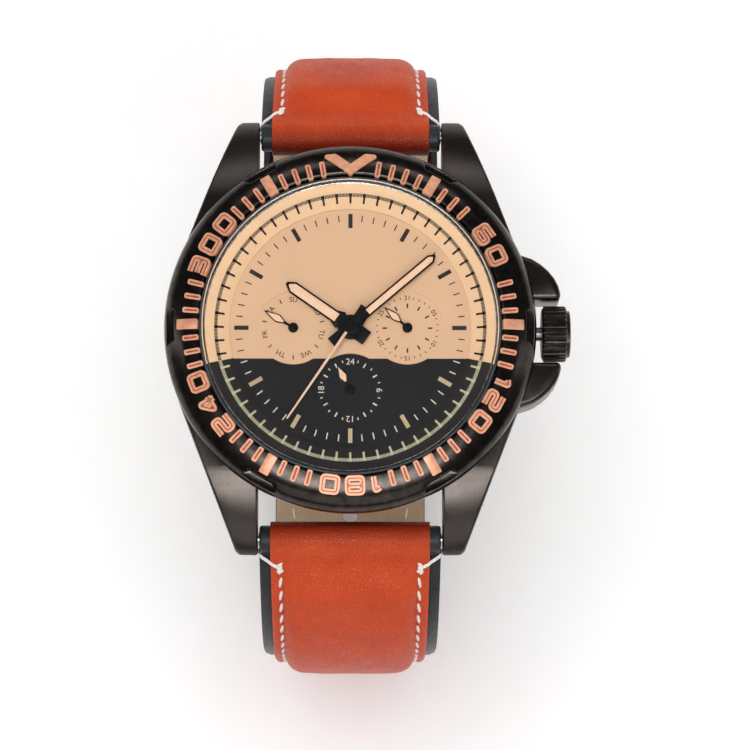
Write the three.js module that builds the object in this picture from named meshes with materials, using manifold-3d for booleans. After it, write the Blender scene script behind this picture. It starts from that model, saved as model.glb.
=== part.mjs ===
// Quartz multi-function wristwatch on a padded two-tone leather strap.
// Millimetres. The origin is the centre of the case back's flat outer face, +Z points out of the dial,
// +Y points to 12 o'clock and +X to 3 o'clock, where the crown is.

import * as THREE from 'three';
import { mergeVertices } from 'three/addons/utils/BufferGeometryUtils.js';
import Module from 'manifold-3d';

const wasm = await Module();
wasm.setup();

// ---------------------------------------------------------------------------------------------
// Driving dimensions
// ---------------------------------------------------------------------------------------------

// Clearances
const FIXED_GAP = 0.05; // between pieces that are fixed to each other
const RUNNING_GAP = 0.1; // around pieces that turn or slide
const SOFT_GAP = 0.3; // around leather and in the strap's hinges

// Bezel, crystal and case
const CRYSTAL_RADIUS = 17.65;
const BEZEL_RADIUS = CRYSTAL_RADIUS + 4.55;
const BEZEL_TOP = 11.3;
const BEZEL_BOTTOM = 7.7;
const BEZEL_GRIPS = 6;
const CRYSTAL_BOTTOM = 9.75;
const CRYSTAL_TOP = 11.35;
const GASKET_WALL = 0.25;
const COLLAR_WALL = 1.6;
const COLLAR_TOP = 9.9;
const CASE_RADIUS = BEZEL_RADIUS - 0.8;
const CASE_BOTTOM = 0.9;
const CASE_SHOULDER = 7.55;
const CAVITY_RADIUS = CRYSTAL_RADIUS - 0.65;
const BACK_FLANGE_RADIUS = CASE_RADIUS - 1.9;
const BACK_PLATE = 1.25;

// Lugs, spring bars and crown guards
const LUG_GAP = 22.1;
const LUG_TIP_Y = BEZEL_RADIUS + 4.4;
const LUG_TIP_WIDTH = 2.7;
const LUG_ROOT_Y = 8.5;
const LUG_ROOT_X = BEZEL_RADIUS - 1.7;
const LUG_CREASE_Y = LUG_TIP_Y - 4.9;
const BAR_Y = LUG_TIP_Y - 2.0;
const BAR_Z = 2.4;
const BAR_RADIUS = 0.8;
const BAR_PIVOT_RADIUS = 0.45;
const BAR_PIVOT_LENGTH = 1.1;
const GUARD_REACH = BEZEL_RADIUS + 3.0;
const GUARD_HALF_GAP = 3.8;
const GUARD_ROOT_Y = 9.3;
const GUARD_BOTTOM = 1.4;
const GUARD_TOP = 7.2;

// Crown, stem and setting work
const CROWN_Z = 4.4;
const CROWN_RADIUS = 3.375;
const CROWN_LENGTH = 2.95;
const CROWN_CAP_RADIUS = 2.85;
const CROWN_CAP = 0.5;
const CROWN_FLUTES = 24;
const CROWN_FLUTE_DEPTH = 0.22;
const CROWN_PULL = 0.7; // how far the crown stands out of its pushed-in place
const TUBE_RADIUS = 0.85;
const STEM_RADIUS = 0.4;

// Dial side
const DIAL_TOP = 8.2;
const DIAL_THICKNESS = 0.4;
const DIAL_RADIUS = CRYSTAL_RADIUS - 0.85;
const CHAPTER_INNER = CRYSTAL_RADIUS - 3.25;
const CHAPTER_TOP = 9.6;
const SUBDIAL_RADIUS = 4.35;
const SUBDIAL_DEPTH = 0.12;
const SUBDIAL_X = 6.8;
const SUBDIAL_Y = 7.5;
const HAND_THICKNESS = 0.2;
const HOUR_HAND_LENGTH = 9.3;
const MINUTE_HAND_LENGTH = 13.3;
const SECOND_HAND_LENGTH = 13.4;

// Movement
const PLATE_RADIUS = 14.9;
const PLATE_BOTTOM = 3.8;
const PLATE_TOP = 5.0;
const TOOTH_TIP = 0.7; // tooth height outside the pitch circle, in modules
const TOOTH_ROOT = 0.9; // tooth depth inside the pitch circle, in modules
const BATTERY_RADIUS = 4.75;
const BATTERY_HEIGHT = 2.1;

// Strap
const STRAP_WIDTH = 21.8;
const STRAP_END_WIDTH = 20.4;
const STRAP_TAPER_LENGTH = 68;
const STRAP_WIDEST_Y = BAR_Y + 11.0; // centre line of the black layer at the sides of the loop
const STRAP_WIDEST_Z = -16.8;
const STRAP_FLAT_Y = 17;
const STRAP_FLAT_Z = -60;
const STRAP_EXIT_ANGLE = 35; // degrees below the dial plane at the spring bar
const BASE_THICKNESS = 1.5;
const LINING_THICKNESS = 0.95;
const TOP_THICKNESS = 0.9;
const PADDING = 1.5;
const TOP_MARGIN = 1.35; // black leather showing on each side of the top leather
const BASE_ROLL_RADIUS = 1.65;
const TOP_ROLL_RADIUS = 2.1;
const HOLE_COUNT = 5;
const HOLE_PITCH = 6.5;
const HOLE_RADIUS = 1.1;
const FIRST_HOLE = 19.3; // from the strap's tip
const BEND_PITCH = 3.6; // length of the straight facets that follow the strap's curve

// Buckle and keepers
const BUCKLE_BAR_Y = 15;
const BUCKLE_LENGTH = 9.5;
const BUCKLE_RAIL = 2.0;
const BUCKLE_HEIGHT = 2.0;
const BUCKLE_BAR_RADIUS = 0.7;
const TONGUE_WIDTH = 2.2;
const TONGUE_THICKNESS = 0.9;
const KEEPER_LENGTH = 4.5;
const KEEPER_WALL = 0.9;
const FIXED_KEEPER_AT = 64; // along the strap from the spring bar
const FREE_KEEPER_AT = 53;

// ---------------------------------------------------------------------------------------------
// Materials
// ---------------------------------------------------------------------------------------------

function material(color, roughness, metalness) {
  return new THREE.MeshStandardMaterial({ color, roughness, metalness });
}

const GUNMETAL = material(0x2b2a2a, 0.25, 0.9);
const STEEL = material(0xb9bcc0, 0.3, 1.0);
const BRASS = material(0xc9a24a, 0.35, 1.0);
const COPPER = material(0xb06a3c, 0.45, 0.9);
const GLASS = material(0xe6eef2, 0.05, 0.0);
const RUBBER = material(0x1a1a1c, 0.7, 0.0);
const DIAL_TAN = material(0xe4ba94, 0.6, 0.0);
const RING_TAN = material(0xf5cda0, 0.6, 0.0);
const HAND_BLACK = material(0x151515, 0.35, 0.3);
const HAND_TAN = material(0xc99a6b, 0.4, 0.5);
const PLASTIC = material(0xe9e4d6, 0.55, 0.0);
const BOARD_GREEN = material(0x1f5a3a, 0.5, 0.0);
const LEATHER_BLACK = material(0x1c1e20, 0.6, 0.0);
const LEATHER_RUST = material(0xc64a26, 0.55, 0.0);
const LEATHER_TAN = material(0xa07d5a, 0.7, 0.0);

// ---------------------------------------------------------------------------------------------
// Geometry helpers
// ---------------------------------------------------------------------------------------------

const TAU = Math.PI * 2;
const ROUND = 40; // facets of the large rings, the same on all so that their flats line up
const watch = new THREE.Group();

// Position-only copy with shared vertices merged and collapsed triangles dropped, facing outwards.
function closedMesh(geometry) {
  const bare = new THREE.BufferGeometry();
  bare.setAttribute('position', geometry.getAttribute('position').clone());
  const count = geometry.getAttribute('position').count;
  const index = geometry.index ? geometry.index.array : Array.from({ length: count }, (_, i) => i);
  bare.setIndex(Array.from(index));
  const merged = mergeVertices(bare, 1e-4);
  const vertices = merged.getAttribute('position').array;
  const triangles = [];
  let volume = 0;
  const [a, b, c] = [new THREE.Vector3(), new THREE.Vector3(), new THREE.Vector3()];
  for (let i = 0; i < merged.index.count; i += 3) {
    const [p, q, r] = [merged.index.array[i], merged.index.array[i + 1], merged.index.array[i + 2]];
    if (p !== q && q !== r && r !== p) {
      triangles.push(p, q, r);
      a.fromArray(vertices, p * 3);
      b.fromArray(vertices, q * 3);
      c.fromArray(vertices, r * 3);
      volume += a.dot(b.cross(c));
    }
  }
  return { vertices, triangles: volume < 0 ? triangles.reverse() : triangles };
}

function solid(geometry) {
  const { vertices, triangles } = closedMesh(geometry);
  const mesh = new wasm.Mesh({
    numProp: 3,
    vertProperties: new Float32Array(vertices),
    triVerts: new Uint32Array(triangles),
  });
  return new wasm.Manifold(mesh);
}

function geometryOf(body) {
  const mesh = body.getMesh();
  const geometry = new THREE.BufferGeometry();
  geometry.setAttribute('position', new THREE.BufferAttribute(mesh.vertProperties, 3));
  geometry.setIndex(new THREE.BufferAttribute(mesh.triVerts, 1));
  return geometry;
}

function join(first, ...rest) {
  return rest.reduce((sum, geometry) => sum.add(solid(geometry)), solid(first));
}

function cut(body, ...tools) {
  return tools.reduce((left, tool) => left.subtract(solid(tool)), body);
}

function addPart(name, shape, look, place = [0, 0, 0]) {
  const source = shape.isBufferGeometry ? shape : geometryOf(shape);
  const { vertices, triangles } = closedMesh(source);
  const geometry = new THREE.BufferGeometry();
  geometry.setAttribute('position', new THREE.BufferAttribute(new Float32Array(vertices), 3));
  geometry.setIndex(triangles);
  geometry.computeVertexNormals();
  const mesh = new THREE.Mesh(geometry, look);
  mesh.name = name;
  mesh.position.set(...place);
  watch.add(mesh);
  return mesh;
}

// Ring or disc about Z from (radius, height) pairs; a ring's profile closes on itself.
function turned(profile, segments = 32) {
  const points = profile.map(([radius, height]) => new THREE.Vector2(radius, height));
  const open = profile[0][0] === 0 && profile[profile.length - 1][0] === 0;
  if (!open) points.push(points[0].clone());
  return new THREE.LatheGeometry(points, segments).rotateX(Math.PI / 2);
}

function ring(inner, outer, bottom, top, segments = ROUND) {
  return turned([[inner, bottom], [outer, bottom], [outer, top], [inner, top]], segments);
}

function rod(radius, bottom, top, segments = 16) {
  return turned([[0, bottom], [radius, bottom], [radius, top], [0, top]], segments);
}

// The same rod lying along X between two x values.
function crossRod(radius, from, to, y, z, segments = 16) {
  return rod(radius, from, to, segments).rotateY(Math.PI / 2).translate(0, y, z);
}

function block(x0, x1, y0, y1, z0, z1) {
  const box = new THREE.BoxGeometry(x1 - x0, y1 - y0, z1 - z0);
  return box.translate((x0 + x1) / 2, (y0 + y1) / 2, (z0 + z1) / 2);
}

function plate(shape, bottom, top, curveSegments = 8) {
  const depth = top - bottom;
  const slab = new THREE.ExtrudeGeometry(shape, { depth, bevelEnabled: false, curveSegments });
  return slab.translate(0, 0, bottom);
}

// A side view drawn in (y, z), extruded along X.
function sideways(shape, x0, x1, curveSegments = 8) {
  const depth = x1 - x0;
  const slab = new THREE.ExtrudeGeometry(shape, { depth, bevelEnabled: false, curveSegments });
  return slab.rotateZ(Math.PI / 2).rotateY(Math.PI / 2).translate(x0, 0, 0);
}

function outline(points) {
  return new THREE.Shape(points.map(([x, y]) => new THREE.Vector2(x, y)));
}

// ---------------------------------------------------------------------------------------------
// Case: body with lugs and crown guards, back, crystal and bezel
// ---------------------------------------------------------------------------------------------

const COLLAR_INNER = CRYSTAL_RADIUS + GASKET_WALL + 2 * FIXED_GAP;
const COLLAR_OUTER = COLLAR_INNER + COLLAR_WALL;
const DIAL_BOTTOM = DIAL_TOP - DIAL_THICKNESS;
const GROOVE_BOTTOM = CASE_SHOULDER + 0.75;
const GROOVE_TOP = GROOVE_BOTTOM + 0.6;
const GROOVE_DEPTH = 0.4;

function cavity() {
  return turned([
    [0, CASE_BOTTOM - 1],
    [CAVITY_RADIUS, CASE_BOTTOM - 1],
    [CAVITY_RADIUS, DIAL_BOTTOM - FIXED_GAP],
    [COLLAR_INNER, DIAL_BOTTOM - FIXED_GAP],
    [COLLAR_INNER, COLLAR_TOP + 1],
    [0, COLLAR_TOP + 1],
  ], ROUND);
}

// One strip carries the two lugs of a side: its plan is tapered, its side view falls to the tips.
function lugStrip(side) {
  const inner = LUG_GAP / 2;
  const plan = outline([
    [inner, -LUG_TIP_Y],
    [inner + LUG_TIP_WIDTH - 0.6, -LUG_TIP_Y],
    [inner + LUG_TIP_WIDTH, -LUG_TIP_Y + 0.6],
    [LUG_ROOT_X, -LUG_ROOT_Y],
    [LUG_ROOT_X, LUG_ROOT_Y],
    [inner + LUG_TIP_WIDTH, LUG_TIP_Y - 0.6],
    [inner + LUG_TIP_WIDTH - 0.6, LUG_TIP_Y],
    [inner, LUG_TIP_Y],
  ].map(([x, y]) => [side * x, y]));
  const half = [
    [LUG_TIP_Y - 8.6, CASE_BOTTOM],
    [LUG_TIP_Y - 4.1, 0.45],
    [LUG_TIP_Y - 1.2, 0.35],
    [LUG_TIP_Y - 0.2, 1.2],
    [LUG_TIP_Y, 2.6],
    [LUG_TIP_Y - 0.5, 3.3],
    [LUG_CREASE_Y, 6.35],
    [LUG_TIP_Y - 10.1, CASE_SHOULDER - FIXED_GAP],
  ];
  const mirrored = half.map(([y, z]) => [-y, z]).reverse();
  const profile = sideways(outline([...half, ...mirrored]), -BEZEL_RADIUS, BEZEL_RADIUS);
  return solid(plate(plan, -1, CASE_SHOULDER + 1)).intersect(solid(profile));
}

function crownGuard(side) {
  const plan = new THREE.Shape();
  const root = CASE_RADIUS - 2.9;
  plan.moveTo(root, side * GUARD_HALF_GAP);
  plan.lineTo(GUARD_REACH - 0.5, side * GUARD_HALF_GAP);
  plan.quadraticCurveTo(GUARD_REACH, side * GUARD_HALF_GAP, GUARD_REACH, side * (GUARD_HALF_GAP + 0.7));
  const [shoulder, flank, end] = [GUARD_REACH - 0.6, GUARD_REACH - 2.8, GUARD_REACH - 4.9];
  plan.bezierCurveTo(shoulder, side * 6.6, flank, side * 8.0, end, side * GUARD_ROOT_Y);
  plan.lineTo(root, side * GUARD_ROOT_Y);
  return solid(plate(plan, GUARD_BOTTOM, GUARD_TOP, 6));
}

function midCase() {
  const wall = turned([
    [CAVITY_RADIUS - 1, CASE_BOTTOM],
    [CASE_RADIUS - 0.5, CASE_BOTTOM],
    [CASE_RADIUS, CASE_BOTTOM + 0.5],
    [CASE_RADIUS, CASE_SHOULDER],
    [COLLAR_OUTER, CASE_SHOULDER],
    [COLLAR_OUTER, GROOVE_BOTTOM],
    [COLLAR_OUTER - GROOVE_DEPTH, GROOVE_BOTTOM],
    [COLLAR_OUTER - GROOVE_DEPTH, GROOVE_TOP],
    [COLLAR_OUTER, GROOVE_TOP],
    [COLLAR_OUTER, COLLAR_TOP],
    [CAVITY_RADIUS - 1, COLLAR_TOP],
  ], ROUND);
  let body = solid(wall);
  for (const side of [-1, 1]) {
    body = body.add(lugStrip(side));
    body = body.add(crownGuard(side));
  }
  const tubeHole = crossRod(TUBE_RADIUS + FIXED_GAP, CAVITY_RADIUS - 1, GUARD_REACH, 0, CROWN_Z);
  const pivotEnd = LUG_GAP / 2 + BAR_PIVOT_LENGTH + RUNNING_GAP;
  const pivotHoles = [-BAR_Y, BAR_Y].map(
    (y) => crossRod(BAR_PIVOT_RADIUS + RUNNING_GAP, -pivotEnd, pivotEnd, y, BAR_Z, 12),
  );
  return cut(body, cavity(), tubeHole, ...pivotHoles);
}

function caseBack() {
  const plug = CAVITY_RADIUS - FIXED_GAP;
  const grooveFloor = plug - 0.45;
  return turned([
    [0, 0],
    [BACK_FLANGE_RADIUS - 1.6, 0],
    [BACK_FLANGE_RADIUS, 0.45],
    [BACK_FLANGE_RADIUS, CASE_BOTTOM - FIXED_GAP],
    [plug, CASE_BOTTOM - FIXED_GAP],
    [plug, 1.3],
    [grooveFloor, 1.3],
    [grooveFloor, 2.15],
    [plug - 0.9, 2.15],
    [plug - 0.9, BACK_PLATE],
    [0, BACK_PLATE],
  ], ROUND);
}

function bezel() {
  const inner = CRYSTAL_RADIUS + GASKET_WALL + FIXED_GAP + 1.5 * RUNNING_GAP;
  const recess = COLLAR_OUTER + 1.5 * RUNNING_GAP;
  const grooveFloor = recess + GROOVE_DEPTH;
  const body = solid(turned([
    [inner, COLLAR_TOP + 2 * RUNNING_GAP],
    [inner, BEZEL_TOP - 0.3],
    [inner + 0.35, BEZEL_TOP],
    [BEZEL_RADIUS - 2.4, BEZEL_TOP - 0.25],
    [BEZEL_RADIUS - 1.0, BEZEL_TOP - 0.95],
    [BEZEL_RADIUS - 0.2, BEZEL_TOP - 1.8],
    [BEZEL_RADIUS, BEZEL_TOP - 2.4],
    [BEZEL_RADIUS, BEZEL_BOTTOM + 0.4],
    [BEZEL_RADIUS - 0.3, BEZEL_BOTTOM],
    [recess, BEZEL_BOTTOM],
    [recess, GROOVE_BOTTOM],
    [grooveFloor, GROOVE_BOTTOM],
    [grooveFloor, GROOVE_TOP],
    [recess, GROOVE_TOP],
    [recess, COLLAR_TOP + 2 * RUNNING_GAP],
  ], ROUND));
  const gripHalfAngle = THREE.MathUtils.degToRad(6.4);
  const grips = Array.from({ length: BEZEL_GRIPS }, (_, i) => {
    const middle = i * (TAU / BEZEL_GRIPS);
    const pocket = new THREE.Shape();
    pocket.absarc(0, 0, BEZEL_RADIUS - 0.35, middle - gripHalfAngle, middle + gripHalfAngle, false);
    pocket.absarc(0, 0, BEZEL_RADIUS - 1.25, middle + gripHalfAngle, middle - gripHalfAngle, true);
    return plate(pocket, BEZEL_TOP - 2.3, BEZEL_TOP + 1, 5);
  });
  return cut(body, ...grips);
}

// Open wire ring that holds the bezel on: it sits half in the collar's groove, half in the bezel's.
function bezelSpring() {
  const wire = ring(
    COLLAR_OUTER - GROOVE_DEPTH + FIXED_GAP,
    COLLAR_OUTER + GROOVE_DEPTH,
    GROOVE_BOTTOM + FIXED_GAP,
    GROOVE_TOP - FIXED_GAP,
  );
  return cut(solid(wire), block(-1.5, 1.5, COLLAR_OUTER - 3, COLLAR_OUTER + 3, 0, COLLAR_TOP));
}

function addCase() {
  addPart('mid_case', midCase(), GUNMETAL);
  addPart('case_back', caseBack(), GUNMETAL);
  const plug = CAVITY_RADIUS - FIXED_GAP;
  addPart('back_gasket', ring(plug - 0.4, CAVITY_RADIUS - 0.02, 1.36, 1.84), RUBBER);
  addPart('crystal', turned([
    [0, CRYSTAL_BOTTOM],
    [CRYSTAL_RADIUS, CRYSTAL_BOTTOM],
    [CRYSTAL_RADIUS, CRYSTAL_TOP - 0.3],
    [CRYSTAL_RADIUS - 0.3, CRYSTAL_TOP],
    [0, CRYSTAL_TOP],
  ], ROUND), GLASS);
  const gasketInner = CRYSTAL_RADIUS + FIXED_GAP;
  const gasketOuter = gasketInner + GASKET_WALL;
  addPart('crystal_gasket', ring(gasketInner, gasketOuter, CHAPTER_TOP, BEZEL_TOP - 0.4), RUBBER);
  addPart('bezel_spring', bezelSpring(), STEEL);
  addPart('bezel', bezel(), GUNMETAL);
}

// ---------------------------------------------------------------------------------------------
// Dial, chapter ring and hands
// ---------------------------------------------------------------------------------------------

const SUBDIALS = {
  day: [-SUBDIAL_X, 0],
  date: [SUBDIAL_X, 0],
  '24h': [0, -SUBDIAL_Y],
};
const HOUR_PIPE_RADIUS = 1.15;
const SUB_ARBOR_RADIUS = 0.25;
const SUB_HAND_BOTTOM = DIAL_TOP + 0.1;
const HOUR_HAND_BOTTOM = DIAL_TOP + 0.5;
const MINUTE_HAND_BOTTOM = HOUR_HAND_BOTTOM + 2 * HAND_THICKNESS;
const SECOND_HAND_BOTTOM = MINUTE_HAND_BOTTOM + 1.75 * HAND_THICKNESS;

function dial() {
  const disc = rod(DIAL_RADIUS, DIAL_BOTTOM, DIAL_TOP, ROUND);
  const tools = [rod(HOUR_PIPE_RADIUS + 2 * RUNNING_GAP, 0, 12, 20)];
  for (const [x, y] of Object.values(SUBDIALS)) {
    tools.push(rod(SUBDIAL_RADIUS, DIAL_TOP - SUBDIAL_DEPTH, DIAL_TOP + 1, 24).translate(x, y, 0));
    tools.push(rod(SUB_ARBOR_RADIUS + RUNNING_GAP, 0, 12, 10).translate(x, y, 0));
  }
  return cut(solid(disc), ...tools);
}

// Pencil-shaped hand pointing to +Y: a square tail, a straight blade and a short point.
function pencilHand(length, width, tail, tailWidth, hubRadius, bore, bottom) {
  const blade = outline([
    [-tailWidth / 2, -tail],
    [tailWidth / 2, -tail],
    [tailWidth / 2, hubRadius],
    [width / 2, hubRadius + 0.8],
    [width / 2, length - width],
    [width * 0.12, length],
    [-width * 0.12, length],
    [-width / 2, length - width],
    [-width / 2, hubRadius + 0.8],
    [-tailWidth / 2, hubRadius],
  ]);
  const top = bottom + HAND_THICKNESS;
  const hub = rod(hubRadius, bottom, top, 20);
  return cut(join(plate(blade, bottom, top), hub), rod(bore, 0, 20, 16));
}

function subHand(length, bottom) {
  const top = bottom + 0.15;
  const drop = new THREE.Shape();
  drop.moveTo(-0.15, 0);
  drop.bezierCurveTo(-0.3, length * 0.35, -0.5, length * 0.4, -0.45, length * 0.55);
  drop.lineTo(0, length);
  drop.lineTo(0.45, length * 0.55);
  drop.bezierCurveTo(0.5, length * 0.4, 0.3, length * 0.35, 0.15, 0);
  return join(plate(drop, bottom, top, 3), rod(0.6, bottom, bottom + 0.3, 14));
}

// Clock angles turn clockwise from 12 o'clock.
function atClockAngle(body, degrees) {
  return geometryOf(body).rotateZ(-THREE.MathUtils.degToRad(degrees));
}

function addDial() {
  addPart('dial', dial(), DIAL_TAN);
  const bottom = DIAL_TOP + FIXED_GAP;
  const rim = COLLAR_INNER - 2 * FIXED_GAP;
  const profile = [[CHAPTER_INNER, bottom], [rim, bottom], [rim, CHAPTER_TOP - FIXED_GAP]];
  profile.push([rim - 0.45, CHAPTER_TOP - FIXED_GAP], [CHAPTER_INNER, bottom + 0.2]);
  addPart('chapter_ring', turned(profile, ROUND), RING_TAN);
}

// ---------------------------------------------------------------------------------------------
// Wheels. Every toothed wheel is given by its centre, teeth and module, and is put in mesh with the
// wheel that drives it by working out the angle of its first tooth.
// ---------------------------------------------------------------------------------------------

function toothed(teeth, module, phase) {
  const tip = module * (teeth / 2 + TOOTH_TIP);
  const root = module * (teeth / 2 - TOOTH_ROOT);
  const points = [];
  for (let i = 0; i < teeth; i += 1) {
    const crest = phase + (i * TAU) / teeth;
    const gap = crest + Math.PI / teeth;
    points.push([tip * Math.cos(crest), tip * Math.sin(crest)]);
    points.push([root * Math.cos(gap), root * Math.sin(gap)]);
  }
  return outline(points);
}

// Angle of the driven wheel's first tooth, so that a gap of it faces the driver's nearest tooth.
function meshPhase(driver, driven) {
  const [dx, dy] = [driven.at[0] - driver.at[0], driven.at[1] - driver.at[1]];
  const toDriven = Math.atan2(dy, dx);
  const offset = (driver.phase - toDriven) * (driver.teeth / driven.teeth);
  return toDriven + Math.PI - offset + Math.PI / driven.teeth;
}

function gear(wheel, bottom, top) {
  return plate(toothed(wheel.teeth, wheel.module, wheel.phase), bottom, top);
}

function gearDistance(a, b) {
  return (a.module * (a.teeth + b.teeth)) / 2;
}

function polar(radius, degrees) {
  const angle = THREE.MathUtils.degToRad(degrees);
  return [radius * Math.cos(angle), radius * Math.sin(angle)];
}

const CENTRE = [0, 0];

// Motion work: cannon pinion, minute wheel, hour wheel, then the idler and wheel of the 24-hour hand.
const cannon = { at: CENTRE, teeth: 8, module: 0.2, phase: 0 };
const minuteWheel = { teeth: 24, module: 0.2 };
minuteWheel.at = [gearDistance(cannon, minuteWheel), 0];
minuteWheel.phase = meshPhase(cannon, minuteWheel);
const hourTeeth = 32;
const minutePinionTeeth = 8;
const motionModule = (2 * gearDistance(cannon, minuteWheel)) / (hourTeeth + minutePinionTeeth);
const minutePinion = { at: minuteWheel.at, teeth: minutePinionTeeth, module: motionModule, phase: 0 };
const hourWheel = { at: CENTRE, teeth: hourTeeth, module: motionModule };
hourWheel.phase = meshPhase(minutePinion, hourWheel);
const hourPinion = { at: CENTRE, teeth: 8, phase: 0 };
const idler = { teeth: 12 };
const wheel24 = { at: SUBDIALS['24h'], teeth: 16 };
const dayTrainModule = (2 * SUBDIAL_Y) / (hourPinion.teeth + 2 * idler.teeth + wheel24.teeth);
hourPinion.module = dayTrainModule;
idler.module = dayTrainModule;
wheel24.module = dayTrainModule;
idler.at = [0, -gearDistance(hourPinion, idler)];
idler.phase = meshPhase(hourPinion, idler);
wheel24.phase = meshPhase(idler, wheel24);
const settingWheel = { teeth: 12, module: minuteWheel.module };
settingWheel.at = [minuteWheel.at[0] + gearDistance(minuteWheel, settingWheel), 0];
settingWheel.phase = meshPhase(minuteWheel, settingWheel);

// Going train: rotor, fifth wheel, second wheel, third wheel and centre wheel.
const secondWheel = { at: CENTRE, teeth: 30, module: 0.22, phase: 0 };
const fifthPinion = { teeth: 6, module: 0.22 };
fifthPinion.at = polar(gearDistance(secondWheel, fifthPinion), 90);
fifthPinion.phase = meshPhase(secondWheel, fifthPinion);
const fifthWheel = { at: fifthPinion.at, teeth: 36, module: 0.16, phase: 0 };
const rotorPinion = { teeth: 6, module: 0.16 };
const toRotor = polar(gearDistance(fifthWheel, rotorPinion), 120);
rotorPinion.at = [fifthWheel.at[0] + toRotor[0], fifthWheel.at[1] + toRotor[1]];
rotorPinion.phase = meshPhase(fifthWheel, rotorPinion);
const secondPinion = { at: CENTRE, teeth: 6, module: 0.158, phase: 0 };
const thirdWheel = { teeth: 45, module: 0.158 };
thirdWheel.at = polar(gearDistance(secondPinion, thirdWheel), -50);
thirdWheel.phase = meshPhase(secondPinion, thirdWheel);
const centreTeeth = 48;
const thirdPinionTeeth = 6;
const centreModule = (2 * gearDistance(secondPinion, thirdWheel)) / (centreTeeth + thirdPinionTeeth);
const thirdPinion = { at: thirdWheel.at, teeth: thirdPinionTeeth, module: centreModule, phase: 0 };
const centreWheel = { at: CENTRE, teeth: centreTeeth, module: centreModule };
centreWheel.phase = meshPhase(thirdPinion, centreWheel);

// Heights in the movement, from the case back up to the dial.
const BRIDGE_BOTTOM = 1.5;
const BRIDGE_TOP = 1.95;
const TRAIN = {
  second: [2.12, 2.42],
  secondPinion: [2.42, 3.0],
  third: [2.62, 2.92],
  fifthPinion: [2.12, 2.6],
  fifth: [2.6, 2.86],
  thirdPinion: [2.92, 3.55],
  centre: [3.15, 3.45],
};
const MOTION_BOTTOM = PLATE_TOP + 0.2;
const MOTION_TOP = MOTION_BOTTOM + 0.55;
const CALENDAR_BOTTOM = MOTION_TOP + 0.15;
const CALENDAR_TOP = CALENDAR_BOTTOM + 0.2;
const HOUR_BOTTOM = CALENDAR_TOP + 0.15;
const HOUR_TOP = HOUR_BOTTOM + 0.5;
const UPPER_BOTTOM = HOUR_TOP + 0.1;
const UPPER_TOP = UPPER_BOTTOM + 0.4;

// Bores and pipes about the centre, from the inside out.
const SECOND_ARBOR = 0.22;
const CENTRE_PIPE = [SECOND_ARBOR + RUNNING_GAP, 0.5];
const CANNON_PIPE = [CENTRE_PIPE[1] + FIXED_GAP, 0.75];
const HOUR_PIPE = [CANNON_PIPE[1] + RUNNING_GAP, HOUR_PIPE_RADIUS];
const PIVOT_RADIUS = 0.2;

function wheelOn(wheel, span, pinion, pinionSpan, arbor) {
  const pieces = [gear(wheel, ...span)];
  if (pinion) pieces.push(gear(pinion, ...pinionSpan));
  pieces.push(rod(PIVOT_RADIUS, ...arbor, 10));
  return join(...pieces);
}

function placed(wheel) {
  return [wheel.at[0], wheel.at[1], 0];
}

function addHands() {
  const cannonBody = join(
    gear(cannon, MOTION_BOTTOM, MOTION_TOP),
    rod(CANNON_PIPE[1], MOTION_BOTTOM, MINUTE_HAND_BOTTOM + HAND_THICKNESS / 2, 16),
  );
  addPart('cannon_pinion', cut(cannonBody, rod(CANNON_PIPE[0], 0, 20, 16)), BRASS);
  const minuteHand = pencilHand(
    MINUTE_HAND_LENGTH, 1.15, 2.3, 1.7, 1.2, CANNON_PIPE[1] + FIXED_GAP, MINUTE_HAND_BOTTOM,
  );
  addPart('minute_hand', atClockAngle(minuteHand, 49.5), HAND_BLACK);

  const hourBody = join(
    gear(hourWheel, HOUR_BOTTOM, HOUR_TOP),
    rod(HOUR_PIPE[1], HOUR_BOTTOM, HOUR_HAND_BOTTOM + HAND_THICKNESS / 2, 20),
    gear(hourPinion, UPPER_BOTTOM, UPPER_TOP),
  );
  addPart('hour_wheel', cut(hourBody, rod(HOUR_PIPE[0], 0, 20, 20)), BRASS);
  const hourHand = pencilHand(
    HOUR_HAND_LENGTH, 1.5, 2.3, 1.9, 1.5, HOUR_PIPE[1] + FIXED_GAP, HOUR_HAND_BOTTOM,
  );
  addPart('hour_hand', atClockAngle(hourHand, 305), HAND_BLACK);

  const needle = outline([[-0.2, -3.2], [0.2, -3.2], [0.08, SECOND_HAND_LENGTH], [-0.08, SECOND_HAND_LENGTH]]);
  const handTop = SECOND_HAND_BOTTOM + 0.15;
  const secondHand = cut(
    join(plate(needle, SECOND_HAND_BOTTOM, handTop), rod(0.85, SECOND_HAND_BOTTOM, handTop + 0.1, 20)),
    rod(SECOND_ARBOR + FIXED_GAP, 0, 20, 12),
  );
  addPart('second_hand', atClockAngle(secondHand, 214), HAND_TAN);

  const subHands = [['day', 4.0, 301], ['date', 3.6, 312], ['24h', 3.35, 332]];
  for (const [name, length, angle] of subHands) {
    const hand = cut(subHand(length, SUB_HAND_BOTTOM), rod(SUB_ARBOR_RADIUS + FIXED_GAP, 0, 20, 10));
    addPart(`hand_${name}`, atClockAngle(hand, angle), HAND_BLACK, [...SUBDIALS[name], 0]);
  }
}

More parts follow.
